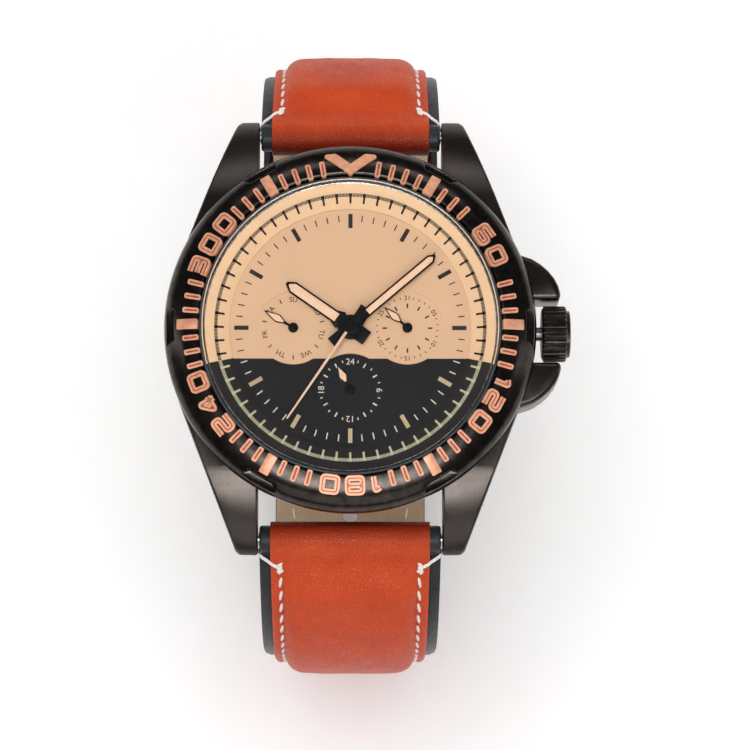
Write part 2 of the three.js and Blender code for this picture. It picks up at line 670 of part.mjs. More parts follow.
function addMotionWork() {
  const motionArbor = [PLATE_TOP - 0.6, HOUR_TOP];
  const minuteSpan = [MOTION_BOTTOM, MOTION_TOP];
  const minuteBody = wheelOn(minuteWheel, minuteSpan, minutePinion, [MOTION_TOP, HOUR_TOP], motionArbor);
  addPart('minute_wheel', minuteBody, BRASS, placed(minuteWheel));
  const settingArbor = [PLATE_TOP - 0.3, MOTION_TOP];
  addPart('setting_wheel', wheelOn(settingWheel, minuteSpan, null, null, settingArbor), STEEL,
    placed(settingWheel));
  const upper = [UPPER_BOTTOM, UPPER_TOP];
  const lowerPivot = CALENDAR_BOTTOM + FIXED_GAP;
  addPart('idler_wheel', wheelOn(idler, upper, null, null, [lowerPivot, UPPER_TOP]), BRASS, placed(idler));

  const handArbor = rod(SUB_ARBOR_RADIUS, CALENDAR_TOP + FIXED_GAP, SUB_HAND_BOTTOM + 0.25, 10);
  const subPivot = rod(PIVOT_RADIUS, lowerPivot, UPPER_BOTTOM, 10);
  addPart('wheel_24h', join(gear(wheel24, ...upper), handArbor, subPivot), BRASS, placed(wheel24));
  const calendarWheels = [['day', 7, 0.62], ['date', 31, 0.19]];
  for (const [name, teeth, module] of calendarWheels) {
    const star = plate(toothed(teeth, module, 0), ...upper);
    addPart(`${name}_wheel`, join(star, handArbor, subPivot), BRASS, [...SUBDIALS[name], 0]);
  }
}

function addGoingTrain() {
  const pivotFoot = BRIDGE_BOTTOM + 0.15;
  const arborTop = SECOND_HAND_BOTTOM + 0.1;
  const secondBody = join(
    gear(secondWheel, ...TRAIN.second),
    gear(secondPinion, ...TRAIN.secondPinion),
    rod(SECOND_ARBOR, pivotFoot, arborTop, 12),
  );
  addPart('second_wheel', secondBody, BRASS);
  const pipe = rod(CENTRE_PIPE[1], TRAIN.centre[0], MOTION_TOP + 0.9, 16);
  const centreBody = join(gear(centreWheel, ...TRAIN.centre), pipe);
  addPart('centre_wheel', cut(centreBody, rod(CENTRE_PIPE[0], 0, 20, 16)), BRASS);
  const trainArbor = [pivotFoot, PLATE_BOTTOM + 0.4];
  addPart('third_wheel', wheelOn(thirdWheel, TRAIN.third, thirdPinion, TRAIN.thirdPinion, trainArbor),
    BRASS, placed(thirdWheel));
  addPart('fifth_wheel', wheelOn(fifthWheel, TRAIN.fifth, fifthPinion, TRAIN.fifthPinion, trainArbor),
    BRASS, placed(fifthWheel));
  const rotorBody = join(
    gear(rotorPinion, TRAIN.fifth[0] - 0.1, TRAIN.fifth[1] + 0.05),
    rod(0.9, TRAIN.fifth[1] + 0.05, PLATE_BOTTOM - 0.2, 16),
    rod(PIVOT_RADIUS, ...trainArbor, 10),
  );
  addPart('rotor', rotorBody, STEEL, placed(rotorPinion));
}

// ---------------------------------------------------------------------------------------------
// Movement frame: main plate, calendar plate, bridge, motor and battery
// ---------------------------------------------------------------------------------------------

const BATTERY_AT = [-7.6, -5.35];
const COIL_Y = 11.2;
const BRIDGE_POSTS = [[5.5, 5.0], [0, -8.9], [-5.2, 1.8]];
const POST_RADIUS = 0.75;
const SCREW_RADIUS = 0.35;
const PINION_START = settingWheel.at[0] + settingWheel.module * (settingWheel.teeth / 2 + TOOTH_TIP) + 0.06;
const PINION_LENGTH = 2.2;
const PINION_RADIUS = 1.05;
const LEVER_AT = [12.6, 3.0];

function bearing(at, radius) {
  return rod(radius + RUNNING_GAP / 2, 0, 20, 10).translate(at[0], at[1], 0);
}

function mainPlate() {
  const pieces = [rod(PLATE_RADIUS, PLATE_BOTTOM, PLATE_TOP, ROUND)];
  for (const [x, y] of BRIDGE_POSTS) {
    pieces.push(rod(POST_RADIUS, BRIDGE_TOP + FIXED_GAP, PLATE_TOP, 10).translate(x, y, 0));
  }
  const channelEnd = PLATE_RADIUS + 1;
  const channelHalf = PINION_RADIUS + 3 * RUNNING_GAP;
  const tools = [
    block(PINION_START - 0.3, PINION_START + PINION_LENGTH + 1.2, -channelHalf, channelHalf, 0, 12),
    block(PINION_START, channelEnd, -STEM_RADIUS - 0.2, STEM_RADIUS + 0.2, 0, 12),
    block(LEVER_AT[0] - 1.6, channelEnd, -0.2, LEVER_AT[1] + 1.6, CROWN_Z - 0.6, 12),
    rod(CENTRE_PIPE[1] + RUNNING_GAP, 0, 12, 16),
  ];
  for (const wheel of [thirdWheel, fifthWheel, rotorPinion, minuteWheel, settingWheel]) {
    tools.push(bearing(wheel.at, PIVOT_RADIUS));
  }
  for (const [x, y] of BRIDGE_POSTS) {
    tools.push(rod(SCREW_RADIUS + FIXED_GAP, 0, PLATE_BOTTOM, 10).translate(x, y, 0));
  }
  return cut(join(...pieces), ...tools);
}

// Thin plate over the motion work, which carries the arbors of the three small hands.
function calendarPlate() {
  const disc = rod(PLATE_RADIUS - 1.5, CALENDAR_BOTTOM, CALENDAR_TOP, 32);
  const pinionTip = minutePinion.module * (minutePinion.teeth / 2 + TOOTH_TIP);
  const tools = [
    rod(CANNON_PIPE[1] + 2 * RUNNING_GAP, 0, 12, 16),
    bearing(minuteWheel.at, pinionTip + RUNNING_GAP),
    bearing(idler.at, PIVOT_RADIUS),
  ];
  for (const at of Object.values(SUBDIALS)) tools.push(bearing(at, PIVOT_RADIUS));
  return cut(solid(disc), ...tools);
}

function trainBridge() {
  const shape = outline([
    [-6.3, 0.8], [-6.3, 2.9], [-3.2, 8.2], [-0.4, 8.6], [6.4, 6.1], [6.8, 4.2],
    [6.2, -4.5], [1.2, -10], [-1.2, -10],
  ]);
  const tools = [rod(BATTERY_RADIUS + 4 * RUNNING_GAP, 0, 12, 32).translate(...BATTERY_AT, 0)];
  tools.push(rod(SECOND_ARBOR + RUNNING_GAP / 2, 0, 12, 10));
  for (const wheel of [thirdWheel, fifthWheel, rotorPinion]) tools.push(bearing(wheel.at, PIVOT_RADIUS));
  for (const at of BRIDGE_POSTS) {
    tools.push(rod(SCREW_RADIUS + FIXED_GAP, 0, 12, 10).translate(...at, 0));
  }
  return cut(solid(plate(shape, BRIDGE_BOTTOM, BRIDGE_TOP)), ...tools);
}

function bridgeScrew() {
  const headBottom = BRIDGE_BOTTOM - 0.2;
  const screw = turned([
    [0, headBottom],
    [0.7, headBottom],
    [0.7, BRIDGE_BOTTOM - 0.02],
    [SCREW_RADIUS, BRIDGE_BOTTOM - 0.02],
    [SCREW_RADIUS, PLATE_BOTTOM - 0.3],
    [0, PLATE_BOTTOM - 0.3],
  ], 12);
  return cut(solid(screw), block(-1, 1, -0.08, 0.08, headBottom - 1, headBottom + 0.1));
}

// Soft-iron plate with the rotor's hole, joined under the coil by its core.
function stator() {
  const [x, y] = rotorPinion.at;
  const bottom = 3.0;
  const top = 3.4;
  const arms = outline([
    [x - 3.4, y - 1.6], [x + 3.0, y - 1.6], [x + 3.0, y + 1.5],
    [7.6, COIL_Y - 1.8], [7.6, COIL_Y + 0.6], [5.6, COIL_Y + 0.6], [5.6, COIL_Y - 1.5],
    [-5.6, COIL_Y - 1.5], [-5.6, COIL_Y + 0.6], [-7.6, COIL_Y + 0.6], [-7.6, COIL_Y - 1.8],
  ]);
  const core = block(-7.4, 7.4, COIL_Y - 0.4, COIL_Y + 0.4, bottom - 0.7, bottom - 0.2);
  const feet = [-6.6, 6.6].map((end) => block(end - 0.7, end + 0.7, COIL_Y - 0.4, COIL_Y + 0.4, bottom - 0.4, top));
  const body = join(plate(arms, bottom, top), core, ...feet);
  return cut(body, rod(0.9 + 3 * RUNNING_GAP, 0, 12, 20).translate(x, y, 0));
}

function addMovement() {
  addPart('main_plate', mainPlate(), BRASS);
  addPart('calendar_plate', calendarPlate(), STEEL);
  addPart('train_bridge', trainBridge(), STEEL);
  BRIDGE_POSTS.forEach(([x, y], i) => addPart(`bridge_screw_${i + 1}`, bridgeScrew(), STEEL, [x, y, 0]));

  const holder = solid(ring(PLATE_RADIUS + FIXED_GAP, CAVITY_RADIUS - FIXED_GAP, 2.3, DIAL_BOTTOM - 0.1));
  const stemSlot = block(PLATE_RADIUS - 1, CAVITY_RADIUS + 1, -1.1, 1.1, CROWN_Z - 1.1, 12);
  addPart('movement_ring', cut(holder, stemSlot), PLASTIC);

  const batteryBottom = PLATE_BOTTOM - 0.1 - BATTERY_HEIGHT;
  const can = turned([
    [0, batteryBottom],
    [BATTERY_RADIUS - 0.6, batteryBottom],
    [BATTERY_RADIUS - 0.6, batteryBottom + 0.3],
    [BATTERY_RADIUS, batteryBottom + 0.3],
    [BATTERY_RADIUS, batteryBottom + BATTERY_HEIGHT],
    [0, batteryBottom + BATTERY_HEIGHT],
  ], 24);
  addPart('battery', can, STEEL, [...BATTERY_AT, 0]);
  const clipTop = batteryBottom - FIXED_GAP;
  const clip = block(-5.2, 5.2, -0.9, 0.9, clipTop - 0.15, clipTop).rotateZ(-0.7);
  addPart('battery_clip', clip, STEEL, [...BATTERY_AT, 0]);

  addPart('stator', stator(), STEEL);
  const winding = turned([
    [0.62, -5.0], [1.05, -5.0], [1.05, -4.6], [0.95, -4.6], [0.95, 4.6], [1.05, 4.6], [1.05, 5.0], [0.62, 5.0],
  ], 12);
  addPart('coil', winding.rotateY(Math.PI / 2), COPPER, [0, COIL_Y, 2.55]);

  const board = new THREE.Shape();
  const [from, to] = [-84, -29].map((angle) => THREE.MathUtils.degToRad(angle));
  board.absarc(0, 0, PLATE_RADIUS - 1.1, from, to, false);
  board.absarc(0, 0, 9.4, to, from, true);
  addPart('circuit_board', plate(board, PLATE_BOTTOM - 0.45, PLATE_BOTTOM - FIXED_GAP, 12), BOARD_GREEN);
  const canLength = rod(0.75, -2.6, 2.6, 14).rotateX(Math.PI / 2).rotateZ(THREE.MathUtils.degToRad(35));
  const [canX, canY] = polar(11.6, -56);
  addPart('quartz_can', canLength, STEEL, [canX, canY, PLATE_BOTTOM - 0.45 - 0.75 - FIXED_GAP]);
}

// ---------------------------------------------------------------------------------------------
// Crown, stem and setting lever
// ---------------------------------------------------------------------------------------------

const CROWN_START = BEZEL_RADIUS + CROWN_PULL + 0.75 * RUNNING_GAP;
const CROWN_BORE_END = CROWN_START + 2.1;
const LEVER_PIN_X = LEVER_AT[0] + 0.3;

function flutedDisc() {
  const points = [];
  const pitch = TAU / CROWN_FLUTES;
  for (let i = 0; i < CROWN_FLUTES; i += 1) {
    const middle = i * pitch;
    points.push([CROWN_RADIUS, middle - 0.3 * pitch], [CROWN_RADIUS, middle + 0.3 * pitch]);
    points.push([CROWN_RADIUS - CROWN_FLUTE_DEPTH, middle + 0.45 * pitch]);
    points.push([CROWN_RADIUS - CROWN_FLUTE_DEPTH, middle + 0.55 * pitch]);
  }
  return outline(points.map(([radius, angle]) => [radius * Math.cos(angle), radius * Math.sin(angle)]));
}

function addCrown() {
  const knob = sideways(flutedDisc(), CROWN_START, CROWN_START + CROWN_LENGTH).translate(0, 0, CROWN_Z);
  const capFrom = CROWN_START + CROWN_LENGTH - 0.1;
  const cap = crossRod(CROWN_CAP_RADIUS, capFrom, CROWN_START + CROWN_LENGTH + CROWN_CAP, 0, CROWN_Z, 32);
  const bore = crossRod(TUBE_RADIUS + 0.45, CROWN_START - 1, CROWN_BORE_END, 0, CROWN_Z, 20);
  const thread = crossRod(STEM_RADIUS + FIXED_GAP, CROWN_START, CROWN_BORE_END + 0.8, 0, CROWN_Z, 12);
  addPart('crown', cut(join(knob, cap), bore, thread), GUNMETAL);

  const gasketFrom = CROWN_START + 0.5;
  const gasket = ring(TUBE_RADIUS + FIXED_GAP, TUBE_RADIUS + 0.4, gasketFrom, gasketFrom + 0.6, 20);
  addPart('crown_gasket', gasket.rotateY(Math.PI / 2), RUBBER, [0, 0, CROWN_Z]);

  const stemFrom = PINION_START + CROWN_PULL;
  const stemTo = CROWN_BORE_END + 0.7;
  const stem = solid(crossRod(STEM_RADIUS, stemFrom, stemTo, 0, CROWN_Z, 12));
  const neck = ring(STEM_RADIUS - 0.13, STEM_RADIUS + 1, LEVER_PIN_X - 0.35, LEVER_PIN_X + 0.35, 12);
  addPart('stem', cut(stem, neck.rotateY(Math.PI / 2).translate(0, 0, CROWN_Z)), STEEL);

  const tube = ring(STEM_RADIUS + RUNNING_GAP, TUBE_RADIUS, CAVITY_RADIUS + 0.3, CROWN_START + 0.45, 20);
  addPart('crown_tube', tube.rotateY(Math.PI / 2), STEEL, [0, 0, CROWN_Z]);

  const end = PINION_START + PINION_LENGTH;
  const clutch = join(
    sideways(toothed(12, PINION_RADIUS / 6.7, 0), PINION_START, PINION_START + 0.7),
    crossRod(0.75, PINION_START, end, 0, 0, 16),
    sideways(toothed(12, PINION_RADIUS / 6.7, 0), end - 0.6, end),
  );
  const square = crossRod(STEM_RADIUS + RUNNING_GAP / 2, 0, 20, 0, 0, 12);
  addPart('sliding_pinion', cut(clutch, square), STEEL, [0, 0, CROWN_Z]);
}

// Lever turning on a stud of the main plate: its pin drops into the stem's neck.
function addSettingLever() {
  const bottom = CROWN_Z + STEM_RADIUS + 2 * RUNNING_GAP;
  const top = bottom + 0.35;
  const [x, y] = LEVER_AT;
  const arm = outline([
    [x - 0.75, y + 0.9], [x - 0.75, y - 0.7], [LEVER_PIN_X - 0.45, -0.5], [LEVER_PIN_X + 0.45, -0.5],
    [x + 0.9, y - 0.7], [x + 0.9, y + 0.9],
  ]);
  const pin = rod(0.2, CROWN_Z + STEM_RADIUS - 0.08, top, 10).translate(LEVER_PIN_X, 0, 0);
  addPart('setting_lever', join(plate(arm, bottom, top), pin), STEEL);
}

// ---------------------------------------------------------------------------------------------
// Spring bars and strap
// ---------------------------------------------------------------------------------------------

const OUTER_FACE = BASE_THICKNESS / 2;
const TOP_INNER = OUTER_FACE + FIXED_GAP;
const LINING_OUTER = -OUTER_FACE - FIXED_GAP;
const STRAP_FLOOR = TOP_INNER + TOP_THICKNESS;
const BUCKLE_TIP_Y = BUCKLE_BAR_Y - BUCKLE_LENGTH;

function springBar() {
  const shoulder = LUG_GAP / 2 - RUNNING_GAP;
  const tip = LUG_GAP / 2 + BAR_PIVOT_LENGTH;
  return turned([
    [0, -tip], [BAR_PIVOT_RADIUS, -tip], [BAR_PIVOT_RADIUS, -shoulder], [BAR_RADIUS, -shoulder],
    [BAR_RADIUS, shoulder], [BAR_PIVOT_RADIUS, shoulder], [BAR_PIVOT_RADIUS, tip], [0, tip],
  ], 16).rotateY(Math.PI / 2);
}

// Centre line of the black layer in (y, z): down the side of the wrist, then flat under it.
function strapLine(endY) {
  const point = (y, z) => new THREE.Vector2(y, z);
  const exit = THREE.MathUtils.degToRad(STRAP_EXIT_ANGLE);
  const bar = point(BAR_Y, BAR_Z);
  const widest = point(STRAP_WIDEST_Y, STRAP_WIDEST_Z);
  const flat = point(STRAP_FLAT_Y, STRAP_FLAT_Z);
  const line = new THREE.CurvePath();
  line.add(new THREE.CubicBezierCurve(
    bar,
    point(bar.x + 8 * Math.cos(exit), bar.y - 8 * Math.sin(exit)),
    point(widest.x, widest.y + 8),
    widest,
  ));
  line.add(new THREE.CubicBezierCurve(
    widest,
    point(widest.x, widest.y - 22),
    point(flat.x + 13, flat.y),
    flat,
  ));
  line.add(new THREE.LineCurve(flat, point(endY, flat.y)));
  return line;
}

// Place at a distance along the strap: the point and the unit normal that faces away from the wrist.
function station(line, distance) {
  const length = line.getLength();
  const here = line.getPoint(THREE.MathUtils.clamp(distance / length, 0, 1));
  const before = line.getPoint(THREE.MathUtils.clamp((distance - 0.2) / length, 0, 1));
  const after = line.getPoint(THREE.MathUtils.clamp((distance + 0.2) / length, 0, 1));
  const tangent = after.sub(before).normalize();
  return { y: here.x, z: here.y, ny: -tangent.y, nz: tangent.x, tangent };
}

function strapWidth(distance) {
  const share = THREE.MathUtils.clamp(distance / STRAP_TAPER_LENGTH, 0, 1);
  return THREE.MathUtils.lerp(STRAP_WIDTH, STRAP_END_WIDTH, share);
}

// A long box bent along the strap line. Its width and its two faces are functions of the place.
// All layers of a half bend at the same places, so that their facets stay parallel.
function bentLayer({ line, side, bends, from, to, width, inner, outer, columns = [-1, 1] }) {
  const rows = [from, ...bends.filter((bend) => bend > from + 0.1 && bend < to - 0.1), to];
  const box = new THREE.BoxGeometry(1, 1, 1, columns.length - 1, 1, rows.length - 1);
  const position = box.getAttribute('position');
  for (let i = 0; i < position.count; i += 1) {
    const column = columns[Math.round((position.getX(i) + 0.5) * (columns.length - 1))];
    const distance = rows[Math.round((position.getZ(i) + 0.5) * (rows.length - 1))];
    const place = station(line, distance);
    const offset = position.getY(i) > 0 ? outer(distance, Math.abs(column)) : inner;
    const x = (column * width(distance)) / 2;
    position.setXYZ(i, x, side * (place.y + place.ny * offset), place.z + place.nz * offset);
  }
  return box;
}

// Rounded end: the width shrinks to a blunt point over the last stretch.
function pointedWidth(width, end, stretch) {
  return (distance) => {
    const left = THREE.MathUtils.clamp((end - distance) / stretch, 0.02, 1);
    return width(distance) * Math.sqrt(1 - (1 - left) ** 2);
  };
}

function paddedOuter(end) {
  return (distance, column) => {
    const rise = THREE.MathUtils.smoothstep(distance, 2.5, 7);
    const fall = 1 - THREE.MathUtils.smoothstep(distance, end - 12, end);
    const across = column < 0.9 ? 1 : 0;
    return TOP_INNER + TOP_THICKNESS + PADDING * rise * fall * across;
  };
}

// Top leather turned round the spring bar, over the black roll and back under it.
function topRoll(side, width) {
  const inner = BASE_ROLL_RADIUS + FIXED_GAP;
  const clear = Math.asin((TOP_INNER + FIXED_GAP / 2) / inner);
  const start = clear - THREE.MathUtils.degToRad(STRAP_EXIT_ANGLE);
  const end = THREE.MathUtils.degToRad(235);
  const shape = new THREE.Shape();
  shape.absarc(0, 0, TOP_ROLL_RADIUS, start, end, false);
  shape.absarc(0, 0, inner, end, start, true);
  const sleeve = sideways(shape, -width / 2, width / 2, 14);
  if (side < 0) sleeve.scale(1, -1, 1);
  return sleeve.translate(0, side * BAR_Y, BAR_Z);
}

function holePunches(line, side, tip) {
  return Array.from({ length: HOLE_COUNT }, (_, i) => {
    const place = station(line, tip - FIRST_HOLE - i * HOLE_PITCH);
    const punch = rod(HOLE_RADIUS, -6, 6, 8);
    punch.rotateX(-side * Math.atan2(place.ny, place.nz));
    return punch.translate(0, side * place.y, place.z);
  });
}

function strapHalf({ name, side, line, end, tipStretch, padEnd, punches, endTools }) {
  const topEnd = end - (tipStretch ? 0.6 : 3.2);
  const narrowed = (width, stop) => (tipStretch ? pointedWidth(width, stop, tipStretch) : width);
  const bodyWidth = narrowed(strapWidth, end);
  const topWidth = narrowed((distance) => strapWidth(distance) - 2 * TOP_MARGIN, topEnd);
  const liningWidth = narrowed((distance) => strapWidth(distance) - 0.2, end);
  const bends = Array.from({ length: Math.floor(end / BEND_PITCH) }, (_, i) => (i + 1) * BEND_PITCH);
  bends.push(topEnd, ...[0.5, 0.25, 0.1].map((share) => end - share * tipStretch));
  bends.sort((a, b) => a - b);
  const common = { line, side, bends };

  const band = bentLayer({
    ...common, from: 1.0, to: end, width: bodyWidth, inner: -OUTER_FACE, outer: () => OUTER_FACE,
  });
  const half = STRAP_WIDTH / 2 - 0.03;
  const roll = crossRod(BASE_ROLL_RADIUS, -half, half, side * BAR_Y, BAR_Z, 20);
  const barHole = crossRod(BAR_RADIUS + RUNNING_GAP, -20, 20, side * BAR_Y, BAR_Z, 16);
  addPart(`${name}_base`, cut(join(band, roll, ...endTools.join), barHole, ...punches, ...endTools.cut),
    LEATHER_BLACK);

  const top = bentLayer({
    ...common, from: 1.5, to: topEnd, width: topWidth, inner: TOP_INNER, outer: paddedOuter(padEnd),
    columns: [-1, -0.84, 0.84, 1],
  });
  const sleeve = topRoll(side, STRAP_WIDTH - 2 * TOP_MARGIN - 0.02);
  addPart(`${name}_top`, cut(join(top, sleeve), ...punches, ...endTools.cut), LEATHER_RUST);

  const lining = bentLayer({
    ...common, from: 2.7, to: topEnd, width: liningWidth, inner: LINING_OUTER - LINING_THICKNESS,
    outer: () => LINING_OUTER,
  });
  addPart(`${name}_lining`, cut(solid(lining), ...punches, ...endTools.cut), LEATHER_TAN);
}

// Leather loop round the strap; the opening leaves a gap on every side.
function keeper(line, distance, gap) {
  const place = station(line, distance);
  const halfWidth = strapWidth(distance) / 2 + gap;
  const low = LINING_OUTER - LINING_THICKNESS - gap;
  const high = STRAP_FLOOR + gap;
  const rectangle = (grow) => [
    [-halfWidth - grow, low - grow], [halfWidth + grow, low - grow],
    [halfWidth + grow, high + grow], [-halfWidth - grow, high + grow],
  ];
  const shape = outline(rectangle(KEEPER_WALL));
  shape.holes.push(new THREE.Path(rectangle(0).map(([x, y]) => new THREE.Vector2(x, y))));
  const loop = plate(shape, -KEEPER_LENGTH / 2, KEEPER_LENGTH / 2);
  const frame = new THREE.Matrix4().makeBasis(
    new THREE.Vector3(1, 0, 0),
    new THREE.Vector3(0, place.ny, place.nz),
    new THREE.Vector3(0, place.tangent.x, place.tangent.y),
  );
  return loop.applyMatrix4(frame).translate(0, place.y, place.z);
}

function addStrap() {
  const bar = springBar();
  addPart('spring_bar_12', bar.clone(), STEEL, [0, BAR_Y, BAR_Z]);
  addPart('spring_bar_6', bar.clone(), STEEL, [0, -BAR_Y, BAR_Z]);

  const line12 = strapLine(BUCKLE_BAR_Y);
  const end12 = line12.getLength();
  const half = STRAP_END_WIDTH / 2 - 0.03;
  const slotHalf = TONGUE_WIDTH / 2 + SOFT_GAP;
  const endTools = {
    join: [crossRod(BASE_ROLL_RADIUS, -half, half, BUCKLE_BAR_Y, STRAP_FLAT_Z, 16)],
    cut: [
      crossRod(BUCKLE_BAR_RADIUS + RUNNING_GAP, -20, 20, BUCKLE_BAR_Y, STRAP_FLAT_Z, 14),
      block(-slotHalf, slotHalf, BUCKLE_BAR_Y - 3, BUCKLE_BAR_Y + 2.6, STRAP_FLAT_Z - 3, STRAP_FLAT_Z + 3),
    ],
  };
  strapHalf({
    name: 'strap_12', side: 1, line: line12, end: end12, tipStretch: 0, padEnd: FREE_KEEPER_AT - 6,
    punches: [], endTools,
  });

  const line6 = strapLine(-(BUCKLE_TIP_Y - SOFT_GAP));
  const end6 = line6.getLength();
  strapHalf({
    name: 'strap_6', side: -1, line: line6, end: end6, tipStretch: 9, padEnd: FREE_KEEPER_AT - 6,
    punches: holePunches(line6, -1, end6), endTools: { join: [], cut: [] },
  });

  addPart('fixed_keeper', keeper(line12, FIXED_KEEPER_AT, SOFT_GAP), LEATHER_BLACK);
  addPart('free_keeper', keeper(line12, FREE_KEEPER_AT, SOFT_GAP + 0.15), LEATHER_BLACK);
}

// ---------------------------------------------------------------------------------------------
// Pin buckle on the short half of the strap
// ---------------------------------------------------------------------------------------------

function addBuckle() {
  const inner = STRAP_END_WIDTH / 2 + SOFT_GAP;
  const outer = inner + BUCKLE_RAIL;
  const low = STRAP_FLAT_Z - BUCKLE_HEIGHT / 2;
  const high = STRAP_FLAT_Z + BUCKLE_HEIGHT / 2;
  const heel = BUCKLE_BAR_Y + 1.5;
  const crossbar = BUCKLE_TIP_Y + BUCKLE_RAIL;
  const shape = outline([
    [-outer, heel], [-outer, BUCKLE_TIP_Y + 2.2], [-outer + 2.2, BUCKLE_TIP_Y],
    [outer - 2.2, BUCKLE_TIP_Y], [outer, BUCKLE_TIP_Y + 2.2], [outer, heel],
    [inner, heel], [inner, crossbar], [-inner, crossbar], [-inner, heel],
  ]);
  const tongueTop = STRAP_FLAT_Z - 0.15;
  const underCrossbar = block(-inner, inner, BUCKLE_TIP_Y - 1, crossbar + 0.01, low - 1, tongueTop + RUNNING_GAP);
  const raised = block(-inner, inner, BUCKLE_TIP_Y, crossbar, tongueTop + RUNNING_GAP, high + 0.35);
  const pinHole = crossRod(BUCKLE_BAR_RADIUS + FIXED_GAP, -outer + 0.6, outer - 0.6, BUCKLE_BAR_Y, STRAP_FLAT_Z, 12);
  const frame = cut(solid(plate(shape, low, high)), underCrossbar).add(solid(raised));
  addPart('buckle_frame', cut(frame, pinHole), GUNMETAL);
  const barEnd = outer - 0.7;
  addPart('buckle_bar', crossRod(BUCKLE_BAR_RADIUS, -barEnd, barEnd, BUCKLE_BAR_Y, STRAP_FLAT_Z, 12), STEEL);

  const halfWidth = TONGUE_WIDTH / 2;
  const tongue = join(
    crossRod(1.5, -halfWidth, halfWidth, BUCKLE_BAR_Y, STRAP_FLAT_Z, 16),
    block(-halfWidth * 0.8, halfWidth * 0.8, BUCKLE_TIP_Y + 0.2, BUCKLE_BAR_Y, tongueTop - TONGUE_THICKNESS,
      tongueTop),
  );
  const eye = crossRod(BUCKLE_BAR_RADIUS + RUNNING_GAP, -5, 5, BUCKLE_BAR_Y, STRAP_FLAT_Z, 14);
  addPart('buckle_tongue', cut(tongue, eye), GUNMETAL);
}

addCase();
addDial();
addHands();
addMotionWork();
addGoingTrain();
addMovement();
addCrown();
addSettingLever();
addStrap();
addBuckle();

export default watch;
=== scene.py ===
"""A quartz watch on a padded two-tone leather strap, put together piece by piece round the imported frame."""
import math

import bpy
import numpy as np
from mathutils import Matrix, Vector, geometry


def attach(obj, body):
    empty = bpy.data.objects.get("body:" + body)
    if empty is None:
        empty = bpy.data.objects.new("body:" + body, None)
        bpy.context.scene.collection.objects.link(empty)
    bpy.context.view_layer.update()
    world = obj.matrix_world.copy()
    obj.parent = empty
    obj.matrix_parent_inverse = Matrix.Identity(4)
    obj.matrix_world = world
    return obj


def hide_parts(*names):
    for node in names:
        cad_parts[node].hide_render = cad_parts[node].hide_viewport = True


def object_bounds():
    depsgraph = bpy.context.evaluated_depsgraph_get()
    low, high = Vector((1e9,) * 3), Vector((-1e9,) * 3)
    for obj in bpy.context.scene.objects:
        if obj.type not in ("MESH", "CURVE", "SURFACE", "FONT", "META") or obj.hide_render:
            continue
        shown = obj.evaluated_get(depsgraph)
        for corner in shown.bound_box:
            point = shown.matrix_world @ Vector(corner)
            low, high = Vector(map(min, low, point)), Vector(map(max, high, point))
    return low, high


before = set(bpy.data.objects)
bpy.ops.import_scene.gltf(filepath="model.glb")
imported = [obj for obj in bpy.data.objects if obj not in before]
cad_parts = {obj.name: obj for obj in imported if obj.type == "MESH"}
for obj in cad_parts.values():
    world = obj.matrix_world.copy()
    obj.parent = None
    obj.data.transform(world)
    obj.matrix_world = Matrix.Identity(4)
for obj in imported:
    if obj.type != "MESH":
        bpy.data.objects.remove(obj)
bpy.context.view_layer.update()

# Case middle. Steel with a black vapour coating, turned as a ring, with a milled strip for the two
# lugs of each side and two guards beside the crown, all one piece of metal in the real case.
MM = 0.001
TAU = 2 * math.pi
CASE_RADIUS = 21.4
CASE_SHOULDER = 7.55
CAVITY_RADIUS = 17.0
LUG_INNER = 11.05
LUG_TIP = 26.6
CROWN_HEIGHT = 4.4
BAR_Y, BAR_Z = 24.6, 2.4


def put_away():
    """Leave edit mode with nothing selected."""
    if bpy.context.object and bpy.context.object.mode == "EDIT":
        bpy.ops.object.mode_set(mode="OBJECT")
    bpy.ops.object.select_all(action="DESELECT")


def only(piece):
    put_away()
    piece.select_set(True)
    bpy.context.view_layer.objects.active = piece


def traced(name, points, filled=True):
    """A line drawn vertex by vertex through points in mm, closed to one face if filled."""
    put_away()
    bpy.ops.mesh.primitive_plane_add(size=MM)
    piece = bpy.context.object
    piece.name = piece.data.name = name
    bpy.ops.object.mode_set(mode="EDIT")
    bpy.ops.mesh.merge(type="CENTER")
    points = [Vector(p) * MM for p in points]
    bpy.ops.transform.translate(value=points[0])
    for here, there in zip(points, points[1:]):
        bpy.ops.mesh.extrude_vertices_move(TRANSFORM_OT_translate={"value": there - here})
    bpy.ops.mesh.select_all(action="SELECT")
    if filled:
        bpy.ops.mesh.edge_face_add()
    return piece


def clean():
    """Merge doubles and face everything outwards, in edit mode, then go back to object mode."""
    bpy.ops.mesh.select_all(action="SELECT")
    bpy.ops.mesh.remove_doubles(threshold=0.0005 * MM)
    bpy.ops.mesh.normals_make_consistent(inside=False)
    bpy.ops.object.mode_set(mode="OBJECT")


def turned(name, profile, steps=180, ring=True):
    """A piece turned on the lathe from (radius, height) pairs in mm."""
    loop = [(r, 0, z) for r, z in profile]
    if ring:
        loop.append(loop[0])
    piece = traced(name, loop, filled=False)
    bpy.ops.mesh.spin(steps=steps, angle=TAU, center=(0, 0, 0), axis=(0, 0, 1))
    clean()
    return piece


def slab(name, outline, bottom, top):
    """A flat piece cut from sheet: an outline of (x, y) pairs in mm, between two heights."""
    piece = traced(name, [(x, y, bottom) for x, y in outline])
    bpy.ops.mesh.extrude_region_move(TRANSFORM_OT_translate={"value": (0, 0, (top - bottom) * MM)})
    clean()
    return piece


def sideways(name, outline, left, right):
    """The same, with the outline in (y, z) and the thickness along X."""
    piece = traced(name, [(left, y, z) for y, z in outline])
    bpy.ops.mesh.extrude_region_move(TRANSFORM_OT_translate={"value": ((right - left) * MM, 0, 0)})
    clean()
    return piece


